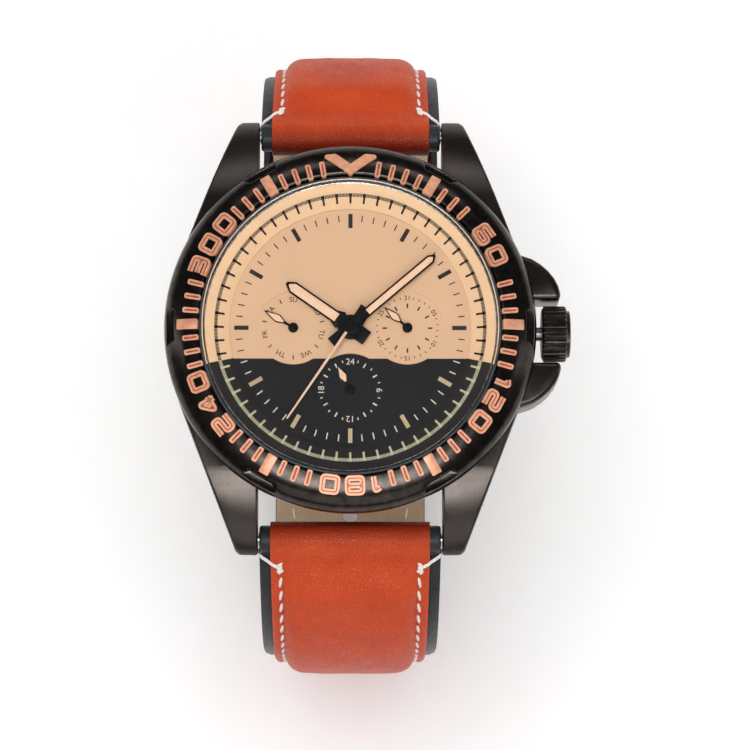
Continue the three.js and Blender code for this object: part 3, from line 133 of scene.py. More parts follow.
def round_off(piece, width, segments=3, angle=30):
    only(piece)
    bevel = piece.modifiers.new("edges", "BEVEL")
    bevel.width = width * MM
    bevel.segments = segments
    bevel.limit_method = "ANGLE"
    bevel.angle_limit = math.radians(angle)
    bpy.ops.object.modifier_apply(modifier=bevel.name)
    return piece


def combine(piece, other, operation):
    """Weld, cut or trim a piece by another, which is used up."""
    only(piece)
    boolean = piece.modifiers.new("cut", "BOOLEAN")
    boolean.operation = operation
    boolean.object = other
    boolean.solver = "EXACT"
    bpy.ops.object.modifier_apply(modifier=boolean.name)
    bpy.data.objects.remove(other)
    return piece


def pin(name, radius, start, end, sides=48):
    """A round pin between two points in mm."""
    put_away()
    start, end = Vector(start) * MM, Vector(end) * MM
    turn = (end - start).to_track_quat("Z", "Y").to_euler()
    bpy.ops.mesh.primitive_cylinder_add(
        vertices=sides, radius=radius * MM, depth=(end - start).length,
        location=(start + end) / 2, rotation=turn,
    )
    piece = bpy.context.object
    piece.name = piece.data.name = name
    bpy.ops.object.transform_apply(location=True, rotation=True, scale=True)
    return piece


def finished(piece, body, finishes, stands_for=(), smooth=35):
    """Smooth, coat and mount a piece: it rides on a body and may stand for CAD nodes."""
    only(piece)
    if smooth:
        bpy.ops.object.shade_smooth_by_angle(angle=math.radians(smooth))
    finishes = finishes if isinstance(finishes, (list, tuple)) else [finishes]
    kept = [min(face.material_index, len(finishes) - 1) for face in piece.data.polygons]
    piece.data.materials.clear()
    for finish in finishes:
        piece.data.materials.append(finish)
    piece.data.polygons.foreach_set("material_index", kept)
    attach(piece, body)
    if stands_for:
        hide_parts(*stands_for)
    put_away()


def put(tree, kind, settings=None, inputs=None):
    """Place a shader node, set it up, and wire or fill its inputs."""
    node = tree.nodes.new("ShaderNode" + kind)
    for key, value in (settings or {}).items():
        setattr(node, key, value)
    for key, value in (inputs or {}).items():
        if isinstance(value, bpy.types.NodeSocket):
            tree.links.new(value, node.inputs[key])
        else:
            node.inputs[key].default_value = value
    return node


def compute(tree, operation, *values):
    """Arithmetic on numbers or sockets."""
    return put(tree, "Math", {"operation": operation}, dict(enumerate(values))).outputs[0]


def blended(tree, share, first, second):
    """A colour between two colours."""
    return put(tree, "Mix", {"data_type": "RGBA"}, {0: share, 6: first, 7: second}).outputs[2]


def ranged(tree, value, low, high, to_low=0.0, to_high=1.0):
    """A value stretched from one range to another and held within it."""
    return put(tree, "MapRange", None, {0: value, 1: low, 2: high, 3: to_low, 4: to_high}).outputs[0]


def object_place(tree):
    """Where a point is on the object, in metres."""
    return put(tree, "TexCoord").outputs["Object"]


def noise(tree, where, scale, detail, roughness=0.5):
    settings = {"Vector": where, "Scale": scale, "Detail": detail, "Roughness": roughness}
    return put(tree, "TexNoise", None, settings).outputs[0]


def bumped(tree, shader, strength, depth, height):
    """Give a surface relief of a depth in mm, from a height between 0 and 1."""
    relief = put(tree, "Bump", None, {"Strength": strength, "Distance": depth * MM, "Height": height})
    tree.links.new(relief.outputs[0], shader.inputs["Normal"])


def rgb(red, green, blue):
    """A colour as the eye reads it, 0 to 255, in the renderer's linear terms."""
    def linear(c):
        c /= 255
        return c / 12.92 if c <= 0.04045 else ((c + 0.055) / 1.055) ** 2.4
    return (linear(red), linear(green), linear(blue), 1.0)


def effect(name, inputs, outputs):
    """A shader group with named inputs and outputs: (tree, its input node, its output node)."""
    tree = bpy.data.node_groups.new(name, "ShaderNodeTree")
    for label, kind, value in inputs:
        socket = tree.interface.new_socket(name=label, in_out="INPUT", socket_type="NodeSocket" + kind)
        if value is not None:
            socket.default_value = value
    for label, kind in outputs:
        tree.interface.new_socket(name=label, in_out="OUTPUT", socket_type="NodeSocket" + kind)
    return tree, tree.nodes.new("NodeGroupInput"), tree.nodes.new("NodeGroupOutput")


def used(tree, group, **inputs):
    """Place a shader group and wire or fill its inputs."""
    return put(tree, "Group", {"node_tree": group}, inputs)


def new_finish(name, **settings):
    """A material with its Principled shader, whose plain values are given by name."""
    finish = bpy.data.materials.new(name)
    finish.use_nodes = True
    tree = finish.node_tree
    shader = tree.nodes["Principled BSDF"]
    for key, value in settings.items():
        shader.inputs[key.replace("_", " ")].default_value = value
    return finish, tree, shader


def make_handling():
    """Traces of handling: soft smears that dull a surface, and fine dust specks."""
    tree, inn, out = effect("handling", [("Size", "Float", 1.0), ("Seed", "Float", 0.0)],
                            [("Smears", "Float"), ("Specks", "Float")])
    where = object_place(tree)
    moved = put(tree, "VectorMath", {"operation": "ADD"}, {0: where, 1: inn.outputs["Seed"]}).outputs[0]
    density = compute(tree, "DIVIDE", 160.0, inn.outputs["Size"])
    smears = noise(tree, moved, density, 4.0, 0.6)
    fine = compute(tree, "MULTIPLY", density, 14.0)
    specks = noise(tree, moved, fine, 1.0)
    tree.links.new(ranged(tree, smears, 0.4, 0.7), out.inputs["Smears"])
    tree.links.new(ranged(tree, specks, 0.7, 0.76), out.inputs["Specks"])
    return tree


def make_edge_wear_and_highlight():
    """Where an edge sticks out, its coating thins; on the gilded bezel marks the same mask paints a highlight
    along the edges. It is a mask from the rounded normal, broken by noise.
    """
    tree, inn, out = effect("edge_wear_and_highlight", [("Width", "Float", 0.0002), ("Amount", "Float", 1.0)],
                            [("WearAndHighlight", "Float")])
    rounded = put(tree, "Bevel", {"samples": 4}, {"Radius": inn.outputs["Width"]})
    flat = put(tree, "NewGeometry").outputs["Normal"]
    along = put(tree, "VectorMath", {"operation": "DOT_PRODUCT"}, {0: rounded.outputs[0], 1: flat})
    turned_away = ranged(tree, along.outputs["Value"], 0.995, 0.9)
    where = object_place(tree)
    patchy = noise(tree, where, 900.0, 3.0)
    broken = compute(tree, "MULTIPLY", turned_away, ranged(tree, patchy, 0.35, 0.65))
    tree.links.new(compute(tree, "MULTIPLY", broken, inn.outputs["Amount"]), out.inputs["WearAndHighlight"])
    return tree


def make_brushing():
    """Fine parallel scratches: noise drawn out along one direction, for height and gloss."""
    tree, inn, out = effect("brushing", [("Stretch", "Vector", (1.0, 1.0, 1.0)), ("Density", "Float", 1.0)],
                            [("Lines", "Float")])
    where = object_place(tree)
    stretched = {0: where, 1: inn.outputs["Stretch"]}
    drawn = put(tree, "VectorMath", {"operation": "MULTIPLY"}, stretched).outputs[0]
    density = compute(tree, "MULTIPLY", inn.outputs["Density"], 1000.0)
    lines = noise(tree, drawn, density, 3.0, 0.65)
    tree.links.new(lines, out.inputs["Lines"])
    return tree


HANDLING = make_handling()
EDGE_WEAR_AND_HIGHLIGHT = make_edge_wear_and_highlight()
BRUSHING = make_brushing()


def coated_metal(name, dark, light, rough, stretch, lines, worn, worn_width, density=6.0):
    """Vapour-coated steel: dark sheen, brushing lines, smears, and brighter worn edges."""
    finish, tree, shader = new_finish(name, Metallic=1.0)
    marks = used(tree, HANDLING, Size=1.0, Seed=float(len(name)))
    brushed = used(tree, BRUSHING, Stretch=stretch, Density=density).outputs["Lines"]
    wear_and_highlight = used(tree, EDGE_WEAR_AND_HIGHLIGHT, Width=worn_width * MM, Amount=worn).outputs["WearAndHighlight"]
    toned = blended(tree, ranged(tree, brushed, 0.3, 0.7), dark, light)
    tree.links.new(blended(tree, wear_and_highlight, toned, rgb(150, 140, 130)), shader.inputs["Base Color"])
    gloss = compute(tree, "MULTIPLY_ADD", marks.outputs["Smears"], 0.08, rough)
    gloss = compute(tree, "MULTIPLY_ADD", compute(tree, "SUBTRACT", brushed, 0.5), lines * 0.5, gloss)
    gloss = compute(tree, "MULTIPLY_ADD", marks.outputs["Specks"], 0.1, gloss)
    tree.links.new(gloss, shader.inputs["Roughness"])
    bumped(tree, shader, lines, 0.01, brushed)
    return finish


CASE_FINISH = coated_metal("case_coating", rgb(72, 66, 63), rgb(82, 76, 72), 0.27,
                           (1.0, 0.05, 0.05), 0.08, 0.3, 0.12, 14.0)

case = turned("case_middle", [
    (CAVITY_RADIUS, 0.9), (20.9, 0.9), (CASE_RADIUS, 1.4), (CASE_RADIUS, CASE_SHOULDER),
    (19.6, CASE_SHOULDER), (19.6, 9.9), (18.0, 9.9), (18.0, 7.75), (CAVITY_RADIUS, 7.75),
], steps=160)
for side in (-1, 1):
    plan = [
        (LUG_INNER, -LUG_TIP), (13.15, -LUG_TIP), (13.75, -26.0), (20.5, -8.5),
        (20.5, 8.5), (13.75, 26.0), (13.15, LUG_TIP), (LUG_INNER, LUG_TIP),
    ]
    lugs = slab("lugs", [(side * x, y) for x, y in plan], -1, 9)
    crest = [Vector((16.5, 7.5)), Vector((20.6, 7.0)), Vector((24.8, 5.0)), Vector((26.55, 2.5))]
    half = [(18.0, 0.9), (22.5, 0.45), (25.4, 0.35), (26.35, 1.1)]
    half += [tuple(p) for p in geometry.interpolate_bezier(*crest, 16)][::-1]
    falls = sideways("lug_profile", half + [(-y, z) for y, z in reversed(half)], -22, 22)
    combine(lugs, falls, "INTERSECT")
    round_off(lugs, 0.28, 3, 32)
    combine(lugs, pin("hollow", 19.4, (0, 0, -2), (0, 0, 12), 96), "DIFFERENCE")
    combine(case, lugs, "UNION")

    guard_edge = [(18.5, 3.8), (24.7, 3.8), (25.05, 3.92), (25.2, 4.3), (25.17, 4.7), (24.95, 5.5),
                  (24.5, 6.4), (23.8, 7.3), (22.9, 8.1), (21.8, 8.8), (20.3, 9.3), (18.5, 9.4)]
    guard = slab("guard", [(x, side * y) for x, y in guard_edge], 1.4, 7.2)
    round_off(guard, 0.7, 4, 60)
    combine(case, guard, "UNION")
combine(case, pin("tube_hole", 0.9, (16, 0, CROWN_HEIGHT), (26, 0, CROWN_HEIGHT), 32), "DIFFERENCE")
for y in (-BAR_Y, BAR_Y):
    combine(case, pin("pivot_hole", 0.55, (-12.3, y, BAR_Z), (12.3, y, BAR_Z), 20), "DIFFERENCE")
finished(case, "case", CASE_FINISH, ["mid_case"], smooth=28)

# Case back. A turned steel cover with a flat centre and six notches for the opening tool in its
# sloped rim; it presses into the case over a rubber gasket.
BACK_FINISH = coated_metal("back_brushing", rgb(86, 82, 78), rgb(112, 106, 100), 0.3,
                           (1, 1, 1), 0.12, 0.5, 0.12, 0.9)
back = turned("case_cover", [
    (0, 0.12), (15.9, 0.12), (16.0, 0), (17.9, 0), (19.3, 0.4), (19.5, 0.55), (19.5, 0.85),
    (16.95, 0.85), (16.95, 1.3), (16.5, 1.3), (16.5, 2.15), (16.05, 2.15), (16.05, 1.25), (0, 1.25),
], steps=144, ring=False)
for i in range(6):
    turn = math.radians(30 + 60 * i)
    out = Vector((math.cos(turn), math.sin(turn), 0))
    along = Vector((-out.y, out.x, 0)) * 1.1
    points = [out * 17.6 - along, out * 20.5 - along, out * 20.5 + along, out * 17.6 + along]
    notch = slab("notch", [(p.x, p.y) for p in points], -0.5, 0.32)
    combine(back, notch, "DIFFERENCE")
finished(back, "case", BACK_FINISH, ["case_back"], smooth=30)

# Movement. A quartz calibre shut inside the case: brass plates and wheels, steel arbors, a copper
# coil, a battery under its clip, and a white plastic ring that holds it all. Shapes come from the CAD.
def plain_metal(name, low, high, rough, density=3.0):
    """Bare metal with fine turning lines, patches of tarnish and bright edges."""
    finish, tree, shader = new_finish(name, Metallic=1.0)
    marks = used(tree, HANDLING, Size=0.6, Seed=float(len(name)) * 0.7)
    lines = used(tree, BRUSHING, Stretch=(1.0, 0.06, 0.3), Density=density).outputs["Lines"]
    tarnished = blended(tree, marks.outputs["Smears"], high, low)
    wear_and_highlight = used(tree, EDGE_WEAR_AND_HIGHLIGHT, Width=0.06 * MM, Amount=0.6).outputs["WearAndHighlight"]
    tree.links.new(blended(tree, wear_and_highlight, tarnished, rgb(225, 215, 200)), shader.inputs["Base Color"])
    tree.links.new(compute(tree, "MULTIPLY_ADD", lines, 0.18, rough), shader.inputs["Roughness"])
    bumped(tree, shader, 0.25, 0.006, lines)
    return finish


def moulded(name, low, high, rough, grain=1800.0, metallic=0.0):
    """Moulded plastic, rubber or board: faint mottling and a fine spark-eroded texture."""
    finish, tree, shader = new_finish(name, Metallic=metallic)
    where = object_place(tree)
    texture = noise(tree, where, grain, 2.0)
    marks = used(tree, HANDLING, Size=0.8, Seed=float(len(name)) * 0.3)
    tree.links.new(blended(tree, marks.outputs["Smears"], low, high), shader.inputs["Base Color"])
    rough_now = compute(tree, "MULTIPLY_ADD", texture, 0.15, rough)
    tree.links.new(rough_now, shader.inputs["Roughness"])
    bumped(tree, shader, 0.3, 0.01, texture)
    return finish


BRASS = plain_metal("train_brass", rgb(160, 120, 60), rgb(214, 172, 96), 0.25)
STEEL = plain_metal("bright_steel", rgb(150, 150, 152), rgb(205, 206, 210), 0.22)
PLATE_BRASS = plain_metal("plate_brass", rgb(150, 118, 66), rgb(205, 176, 112), 0.34, 1.2)
COPPER = plain_metal("coil_copper", rgb(120, 60, 34), rgb(196, 112, 66), 0.35, 9.0)
RUBBER = moulded("gasket_rubber", rgb(22, 22, 24), rgb(38, 38, 41), 0.6)
HOLDER = moulded("holder_plastic", rgb(206, 200, 186), rgb(232, 228, 216), 0.45)
BOARD = moulded("board_lacquer", rgb(22, 70, 44), rgb(40, 104, 66), 0.3)
NODE_FINISHES = {
    BRASS: ["cannon_pinion", "hour_wheel", "minute_wheel", "idler_wheel", "wheel_24h", "day_wheel",
            "date_wheel", "second_wheel", "centre_wheel", "third_wheel", "fifth_wheel"],
    STEEL: ["setting_wheel", "rotor", "bridge_screw_1", "bridge_screw_2", "bridge_screw_3", "battery",
            "battery_clip", "stator", "quartz_can", "stem", "sliding_pinion", "setting_lever",
            "crown_tube", "bezel_spring"],
    PLATE_BRASS: ["main_plate", "calendar_plate", "train_bridge"],
    COPPER: ["coil"],
    RUBBER: ["back_gasket", "crown_gasket"],
    HOLDER: ["movement_ring"],
    BOARD: ["circuit_board"],
}
for finish, names in NODE_FINISHES.items():
    for name in names:
        for material_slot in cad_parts[name].material_slots:
            material_slot.material = finish

# Crown. Knurled black steel on the winding stem, pulled out one click; it is a fluted barrel with a
# stepped, softly domed cap, and the case tube and stem show in the gap behind it.
CROWN_START = 22.975
FLUTES = 30


def laid_along_x(piece, place):
    """Turn a piece made upright on the Z axis to lie along +X, and move it there."""
    turn = Matrix.Translation(Vector(place) * MM) @ Matrix.Rotation(TAU / 4, 4, "Y")
    piece.data.transform(turn)
    return piece


flutes = []
for i in range(FLUTES):
    for share, radius in ((0.0, 3.375), (0.3, 3.375), (0.42, 3.2), (0.58, 3.14), (0.74, 3.14), (0.9, 3.2)):
        angle = TAU * (i + share) / FLUTES
        flutes.append((radius * math.cos(angle), radius * math.sin(angle)))
barrel = slab("crown_barrel", flutes, 0, 2.95)
collar = turned("crown_profile", [
    (0, 0), (2.9, 0), (3.5, 0.35), (3.5, 2.65), (3.1, 3.0), (2.84, 3.0), (2.8, 3.32), (2.55, 3.42), (0, 3.45),
], steps=120, ring=False)
shell = turned("crown_core", [
    (0, 0.3), (3.05, 0.3), (3.05, 2.7), (2.84, 2.98), (2.8, 3.32), (2.55, 3.42), (0, 3.45),
], steps=120, ring=False)
combine(barrel, collar, "INTERSECT")
crown = combine(barrel, shell, "UNION")
combine(crown, pin("crown_bore", 0.95, (0, 0, -1), (0, 0, 2.1), 32), "DIFFERENCE")
round_off(crown, 0.04, 2, 25)
laid_along_x(crown, (CROWN_START, 0, CROWN_HEIGHT))
crown.name = crown.data.name = "crown_knurled"
CROWN_FINISH = coated_metal("crown_coating", rgb(40, 37, 36), rgb(74, 68, 64), 0.3,
                            (0.05, 1, 1), 0.3, 0.8, 0.12)
finished(crown, "crown", CROWN_FINISH, ["crown"], smooth=30)

# Dial. A thin brass plate with three sunk small dials, painted in two matt colours that meet in a
# line below the centre; the marks and numbers are printed on it and on the sloped ring round it.
DIAL_TOP = 8.2
SMALL_RADIUS = 4.35
SMALL_FLOOR = DIAL_TOP - 0.12
DAY_AT = (-6.8, 0.0)
DATE_AT = (6.8, 0.0)
HOURS_AT = (0.0, -7.5)
SPLIT_Y = -3.7
CHAPTER_INNER = 14.4
TAN = rgb(212, 172, 138)
NIGHT = rgb(26, 26, 29)


def inside(tree, where, centre, radius):
    """1 inside a circle about a place on the dial, 0 outside."""
    flat = put(tree, "VectorMath", {"operation": "MULTIPLY"}, {0: where, 1: (1, 1, 0)}).outputs[0]
    centre = (centre[0] * MM, centre[1] * MM, 0)
    distance = put(tree, "VectorMath", {"operation": "DISTANCE"}, {0: flat, 1: centre}).outputs["Value"]
    return compute(tree, "LESS_THAN", distance, radius * MM)


def make_two_tone():
    """Where the dial is night-coloured: below the line, but the small dials keep one colour each."""
    tree, _, out = effect("two_tone", [], [("Night", "Float")])
    where = object_place(tree)
    y = put(tree, "SeparateXYZ", None, {0: where}).outputs["Y"]
    below = compute(tree, "LESS_THAN", y, SPLIT_Y * MM)
    pale = compute(tree, "MAXIMUM", inside(tree, where, DAY_AT, SMALL_RADIUS + 0.05),
                   inside(tree, where, DATE_AT, SMALL_RADIUS + 0.05))
    below = compute(tree, "MULTIPLY", below, compute(tree, "SUBTRACT", 1.0, pale))
    tree.links.new(compute(tree, "MAXIMUM", below, inside(tree, where, HOURS_AT, SMALL_RADIUS + 0.05)),
                   out.inputs["Night"])
    return tree


def make_ring_split():
    """The same on the sloped ring, where the colours meet along a radius."""
    tree, _, out = effect("ring_split", [], [("Night", "Float")])
    x, y, z = put(tree, "SeparateXYZ", None, {0: object_place(tree)}).outputs
    slope = compute(tree, "MULTIPLY", compute(tree, "ABSOLUTE", x), SPLIT_Y / 13.92)
    tree.links.new(compute(tree, "LESS_THAN", y, slope), out.inputs["Night"])
    return tree


TWO_TONE = make_two_tone()
RING_SPLIT = make_ring_split()


def painted(name, split, pale, dark, rough=0.6):
    """Matt lacquer in two colours with a fine sprayed grain."""
    finish, tree, shader = new_finish(name, Specular_IOR_Level=0.08)
    where = object_place(tree)
    spray = noise(tree, where, 6000.0, 2.0)
    cloud = noise(tree, where, 120.0, 2.0)
    night = used(tree, split).outputs["Night"]
    coat = blended(tree, night, pale, dark)
    shade = ranged(tree, cloud, 0.3, 0.7, 0.0, 0.03)
    coat = blended(tree, shade, coat, rgb(120, 90, 62))
    tree.links.new(coat, shader.inputs["Base Color"])
    tree.links.new(compute(tree, "MULTIPLY_ADD", spray, 0.2, rough - 0.1), shader.inputs["Roughness"])
    bumped(tree, shader, 0.04, 0.002, spray)
    return finish


def printed(name, split, on_pale, on_dark):
    """Pad-printed ink: one colour on the pale half, another on the dark half."""
    finish, tree, shader = new_finish(name, Specular_IOR_Level=0.1)
    where = object_place(tree)
    grain = noise(tree, where, 5000.0, 1.0)
    ink = blended(tree, used(tree, split).outputs["Night"], on_pale, on_dark)
    faded = ranged(tree, grain, 0.45, 0.75, 0.0, 0.1)
    tree.links.new(blended(tree, faded, ink, rgb(130, 115, 98)), shader.inputs["Base Color"])
    tree.links.new(compute(tree, "MULTIPLY_ADD", grain, 0.2, 0.4), shader.inputs["Roughness"])
    return finish


dial = turned("dial_plate", [(0, 7.8), (16.8, 7.8), (16.8, DIAL_TOP), (0, DIAL_TOP)], steps=128, ring=False)
combine(dial, pin("pipe_hole", 1.35, (0, 0, 7), (0, 0, 9), 48), "DIFFERENCE")
for x, y in (DAY_AT, DATE_AT, HOURS_AT):
    combine(dial, pin("sinking", SMALL_RADIUS, (x, y, SMALL_FLOOR), (x, y, 9), 96), "DIFFERENCE")
    combine(dial, pin("arbor_hole", 0.35, (x, y, 7), (x, y, 9), 24), "DIFFERENCE")
round_off(dial, 0.05, 2, 50)
finished(dial, "case", painted("dial_paint", TWO_TONE, TAN, NIGHT), ["dial"], smooth=20)

RING_TAN = rgb(226, 186, 148)
chapter = turned("chapter_slope", [
    (CHAPTER_INNER, 8.25), (17.9, 8.25), (17.9, 9.5), (17.36, 9.5), (CHAPTER_INNER + 0.06, 8.45),
    (CHAPTER_INNER, 8.4),
], steps=180)
finished(chapter, "case", painted("ring_paint", RING_SPLIT, RING_TAN, rgb(34, 33, 34)),
         ["chapter_ring"], smooth=20)

# a bright polished lip on top of the ring, which carries the glass
lip = turned("ring_lip", [(17.28, 9.46), (17.5, 9.46), (17.5, 9.6), (17.42, 9.64), (17.3, 9.58)], steps=180)
edge_ring = turned("crystal_edge", [(17.5, 9.62), (17.68, 9.62), (17.68, 9.73), (17.5, 9.73)], steps=180)
EDGE_FINISH = moulded("edge_print", rgb(36, 46, 58), rgb(58, 70, 84), 0.4)
finished(edge_ring, "case", EDGE_FINISH, smooth=40)
LIP_FINISH = plain_metal("lip_steel", rgb(170, 160, 146), rgb(226, 216, 200), 0.18)
finished(lip, "case", LIP_FINISH, smooth=40)


def sprayed_round(piece, copies, sweep):
    """Repeat what is in the mesh round the dial's centre, by a spin of copies."""
    only(piece)
    bpy.ops.object.mode_set(mode="EDIT")
    bpy.ops.mesh.select_all(action="SELECT")
    bpy.ops.mesh.spin(steps=copies - 1, dupli=True, angle=sweep * (copies - 1) / copies,
                      center=(0, 0, 0), axis=(0, 0, 1))
    bpy.ops.object.mode_set(mode="OBJECT")
    return piece


def stroke(name, inner, outer, width, height, raised=0.012, turn=0.0, slope=0.0):
    """One printed bar at 12 o'clock, lying on the dial or up the sloped ring."""
    half = width / 2
    piece = slab(name, [(-half, inner), (half, inner), (half, outer), (-half, outer)], 0, raised)
    for vertex in piece.data.vertices:
        vertex.co.z += (height + slope * (vertex.co.y / MM - inner)) * MM
    piece.data.transform(Matrix.Rotation(-math.radians(turn), 4, "Z"))
    return piece


def welded(pieces, name):
    put_away()
    for piece in pieces:
        piece.select_set(True)
    bpy.context.view_layer.objects.active = pieces[0]
    if len(pieces) > 1:
        bpy.ops.object.join()
    pieces[0].name = pieces[0].data.name = name
    return pieces[0]


minute_ticks = [stroke("tick", 12.9, 13.7, 0.13, DIAL_TOP, turn=6 * i) for i in range(1, 5)]
minutes = sprayed_round(welded(minute_ticks, "minute_prints"), 12, TAU)
DIAL_INK = printed("dial_ink", TWO_TONE, rgb(26, 20, 18), rgb(214, 208, 194))
finished(minutes, "case", DIAL_INK, smooth=0)
HOUR_INK = printed("hour_ink", TWO_TONE, rgb(38, 36, 35), rgb(186, 164, 128))
hour_bars = sprayed_round(stroke("hour_bar", 12.13, 13.84, 0.5, DIAL_TOP, 0.05), 12, TAU)
finished(hour_bars, "case", HOUR_INK, smooth=0)

RING_SLOPE = 1.05 / (17.36 - CHAPTER_INNER - 0.06)
TICK_INNER, TICK_OUTER = 15.05, 16.2
ring_height = 8.45 + RING_SLOPE * (TICK_INNER - CHAPTER_INNER - 0.06)
fine_height = ring_height + RING_SLOPE * 0.75
RING_INK = printed("ring_ink", RING_SPLIT, rgb(20, 13, 10), rgb(190, 184, 150))
long_ticks = stroke("second_prints", TICK_INNER, TICK_OUTER, 0.25, ring_height, 0.03, slope=RING_SLOPE)
finished(sprayed_round(long_ticks, 60, TAU), "case", RING_INK, smooth=0)
fine = [stroke("fine", 15.8, TICK_OUTER, 0.11, fine_height, 0.03, turn=0.6 * i, slope=RING_SLOPE)
        for i in range(1, 10)]
fine_ticks = sprayed_round(welded(fine, "fine_prints"), 60, TAU)
finished(fine_ticks, "case", RING_INK, smooth=0)


def lettered(text, size, place, turn, height):
    """A printed word standing at a clock angle round a small dial, its top away from the middle."""
    put_away()
    bpy.ops.object.text_add()
    word = bpy.context.object
    word.data.body = text
    word.data.size = size * MM
    word.data.align_x = "CENTER"
    word.data.align_y = "CENTER"
    word.data.extrude = 0.006 * MM
    word.data.offset = 0.002 * MM * size
    word.data.resolution_u = 3
    bpy.ops.object.convert(target="MESH")
    word = bpy.context.object
    spin = Matrix.Rotation(-math.radians(turn), 4, "Z")
    word.data.transform(Matrix.Translation(Vector((place[0], place[1], height + 0.006)) * MM) @ spin)
    return word


def around(centre, radius, turn):
    angle = math.radians(90 - turn)
    return (centre[0] + radius * math.cos(angle), centre[1] + radius * math.sin(angle))


def small_ticks(centre, turns, inner, outer, width):
    pieces = []
    for turn in turns:
        piece = stroke("small_tick", inner, outer, width, SMALL_FLOOR, turn=turn)
        piece.data.transform(Matrix.Translation(Vector((centre[0], centre[1], 0)) * MM))
        pieces.append(piece)
    return pieces


DAYS = ("SU", "MO", "TU", "WE", "TH", "FR", "SA")
prints = [lettered(day, 0.9, around(DAY_AT, 3.42, 360 / 7 * i), 360 / 7 * i, SMALL_FLOOR)
          for i, day in enumerate(DAYS)]
prints += small_ticks(DAY_AT, [360 / 7 * (i + 0.5) for i in range(7)], 3.25, 3.8, 0.13)
for i, number in enumerate(("31", "05", "10", "15", "20", "25")):
    prints.append(lettered(number, 0.82, around(DATE_AT, 3.62, 60 * i), 60 * i, SMALL_FLOOR))
    prints += small_ticks(DATE_AT, [60 * i + 11.6 * k for k in range(1, 5)], 3.5, 3.75, 0.1)
prints += small_ticks(DATE_AT, range(0, 360, 30), 2.43, 2.98, 0.18)
for i, number in enumerate(("24", "6", "12", "18")):
    prints.append(lettered(number, 1.05, around(HOURS_AT, 3.42, 90 * i), 90 * i, SMALL_FLOOR))
    prints += small_ticks(HOURS_AT, [90 * i + 30, 90 * i + 60], 3.1, 3.66, 0.17)
    prints += small_ticks(HOURS_AT, [90 * i + 15, 90 * i + 45, 90 * i + 75], 3.4, 3.68, 0.13)
finished(welded(prints, "small_dial_prints"), "case", DIAL_INK, smooth=0)

# Hands. Pressed from blackened steel, with a window down the blade filled with cream lume; the
# square tails stand behind the hub, and each small dial has its own drop-shaped hand.
HAND_BLACK = coated_metal("hand_coating", rgb(20, 20, 21), rgb(40, 39, 39), 0.32, (1, 1, 1), 0.1, 0.4, 0.04)
LUME = moulded("hand_lume", rgb(228, 184, 150), rgb(236, 196, 164), 0.55, 9000.0)
HAND_TAN = moulded("needle_enamel", rgb(220, 176, 144), rgb(234, 194, 164), 0.35, 5000.0)


def at_angle(piece, turn, centre=(0, 0)):
    """Turn a piece made pointing to 12 to its clock angle about a centre."""
    move = Matrix.Translation(Vector((centre[0], centre[1], 0)) * MM)
    piece.data.transform(move @ Matrix.Rotation(-math.radians(turn), 4, "Z"))
    return piece


def long_hand(name, node, body, length, width, tail, tail_width, hub, bore, bottom, turn, window):
    half = width / 2
    tip = width * 0.62
    blade = slab(name, [
        (-tail_width / 2, -tail), (tail_width / 2, -tail), (tail_width / 2, hub * 0.8), (half * 1.5, hub),
        (half, hub + 0.9), (half, length - tip), (half * 0.2, length), (-half * 0.2, length),
        (-half, length - tip), (-half, hub + 0.9), (-half * 1.5, hub), (-tail_width / 2, hub * 0.8),
    ], bottom, bottom + 0.2)
    inner = half - 0.21
    opening = [(-inner, window), (inner, window), (inner, length - tip - 0.06),
               (inner * 0.15, length - 0.36), (-inner * 0.15, length - 0.36), (-inner, length - tip - 0.06)]
    combine(blade, slab("window", opening, bottom - 1, bottom + 1), "DIFFERENCE")
    combine(blade, pin("hub", hub, (0, 0, bottom), (0, 0, bottom + 0.2), 64), "UNION")
    combine(blade, pin("bore", bore, (0, 0, bottom - 1), (0, 0, bottom + 1), 40), "DIFFERENCE")
    round_off(blade, 0.045, 2, 40)
    finished(at_angle(blade, turn), body, HAND_BLACK, [node], smooth=30)
    snug = [(x * 0.995, y) for x, y in opening]
    lume = round_off(slab(name + "_lume", snug, bottom + 0.03, bottom + 0.17), 0.03, 2, 40)
    finished(at_angle(lume, turn), body, LUME, smooth=30)


long_hand("hour_blade", "hour_hand", "hour_hand", 9.3, 1.5, 2.4, 1.85, 1.5, 1.2, 8.7, 305, 1.95)
long_hand("minute_blade", "minute_hand", "minute_hand", 13.3, 1.15, 3.0, 1.25, 1.2, 0.8, 9.1, 49.5, 2.7)

SECONDS_TURN = 214
needle = slab("needle", [(-0.17, 0.86), (0.17, 0.86), (0.1, 13.4), (-0.1, 13.4)], 9.45, 9.6)
finished(at_angle(round_off(needle, 0.03, 2), SECONDS_TURN), "second_hand", HAND_TAN, smooth=30)
needle_tail = slab("needle_hub", [(-0.42, -2.9), (0.42, -2.9), (0.34, 0.5), (-0.34, 0.5)], 9.44, 9.59)
cap = turned("needle_cap", [
    (0, 9.44), (0.85, 9.44), (0.85, 9.62), (0.72, 9.7), (0, 9.71),
], steps=64, ring=False)
combine(needle_tail, cap, "UNION")
combine(needle_tail, pin("needle_bore", 0.27, (0, 0, 9), (0, 0, 9.64), 32), "DIFFERENCE")
finished(at_angle(needle_tail, SECONDS_TURN), "second_hand", HAND_BLACK,
         ["second_hand"], smooth=30)


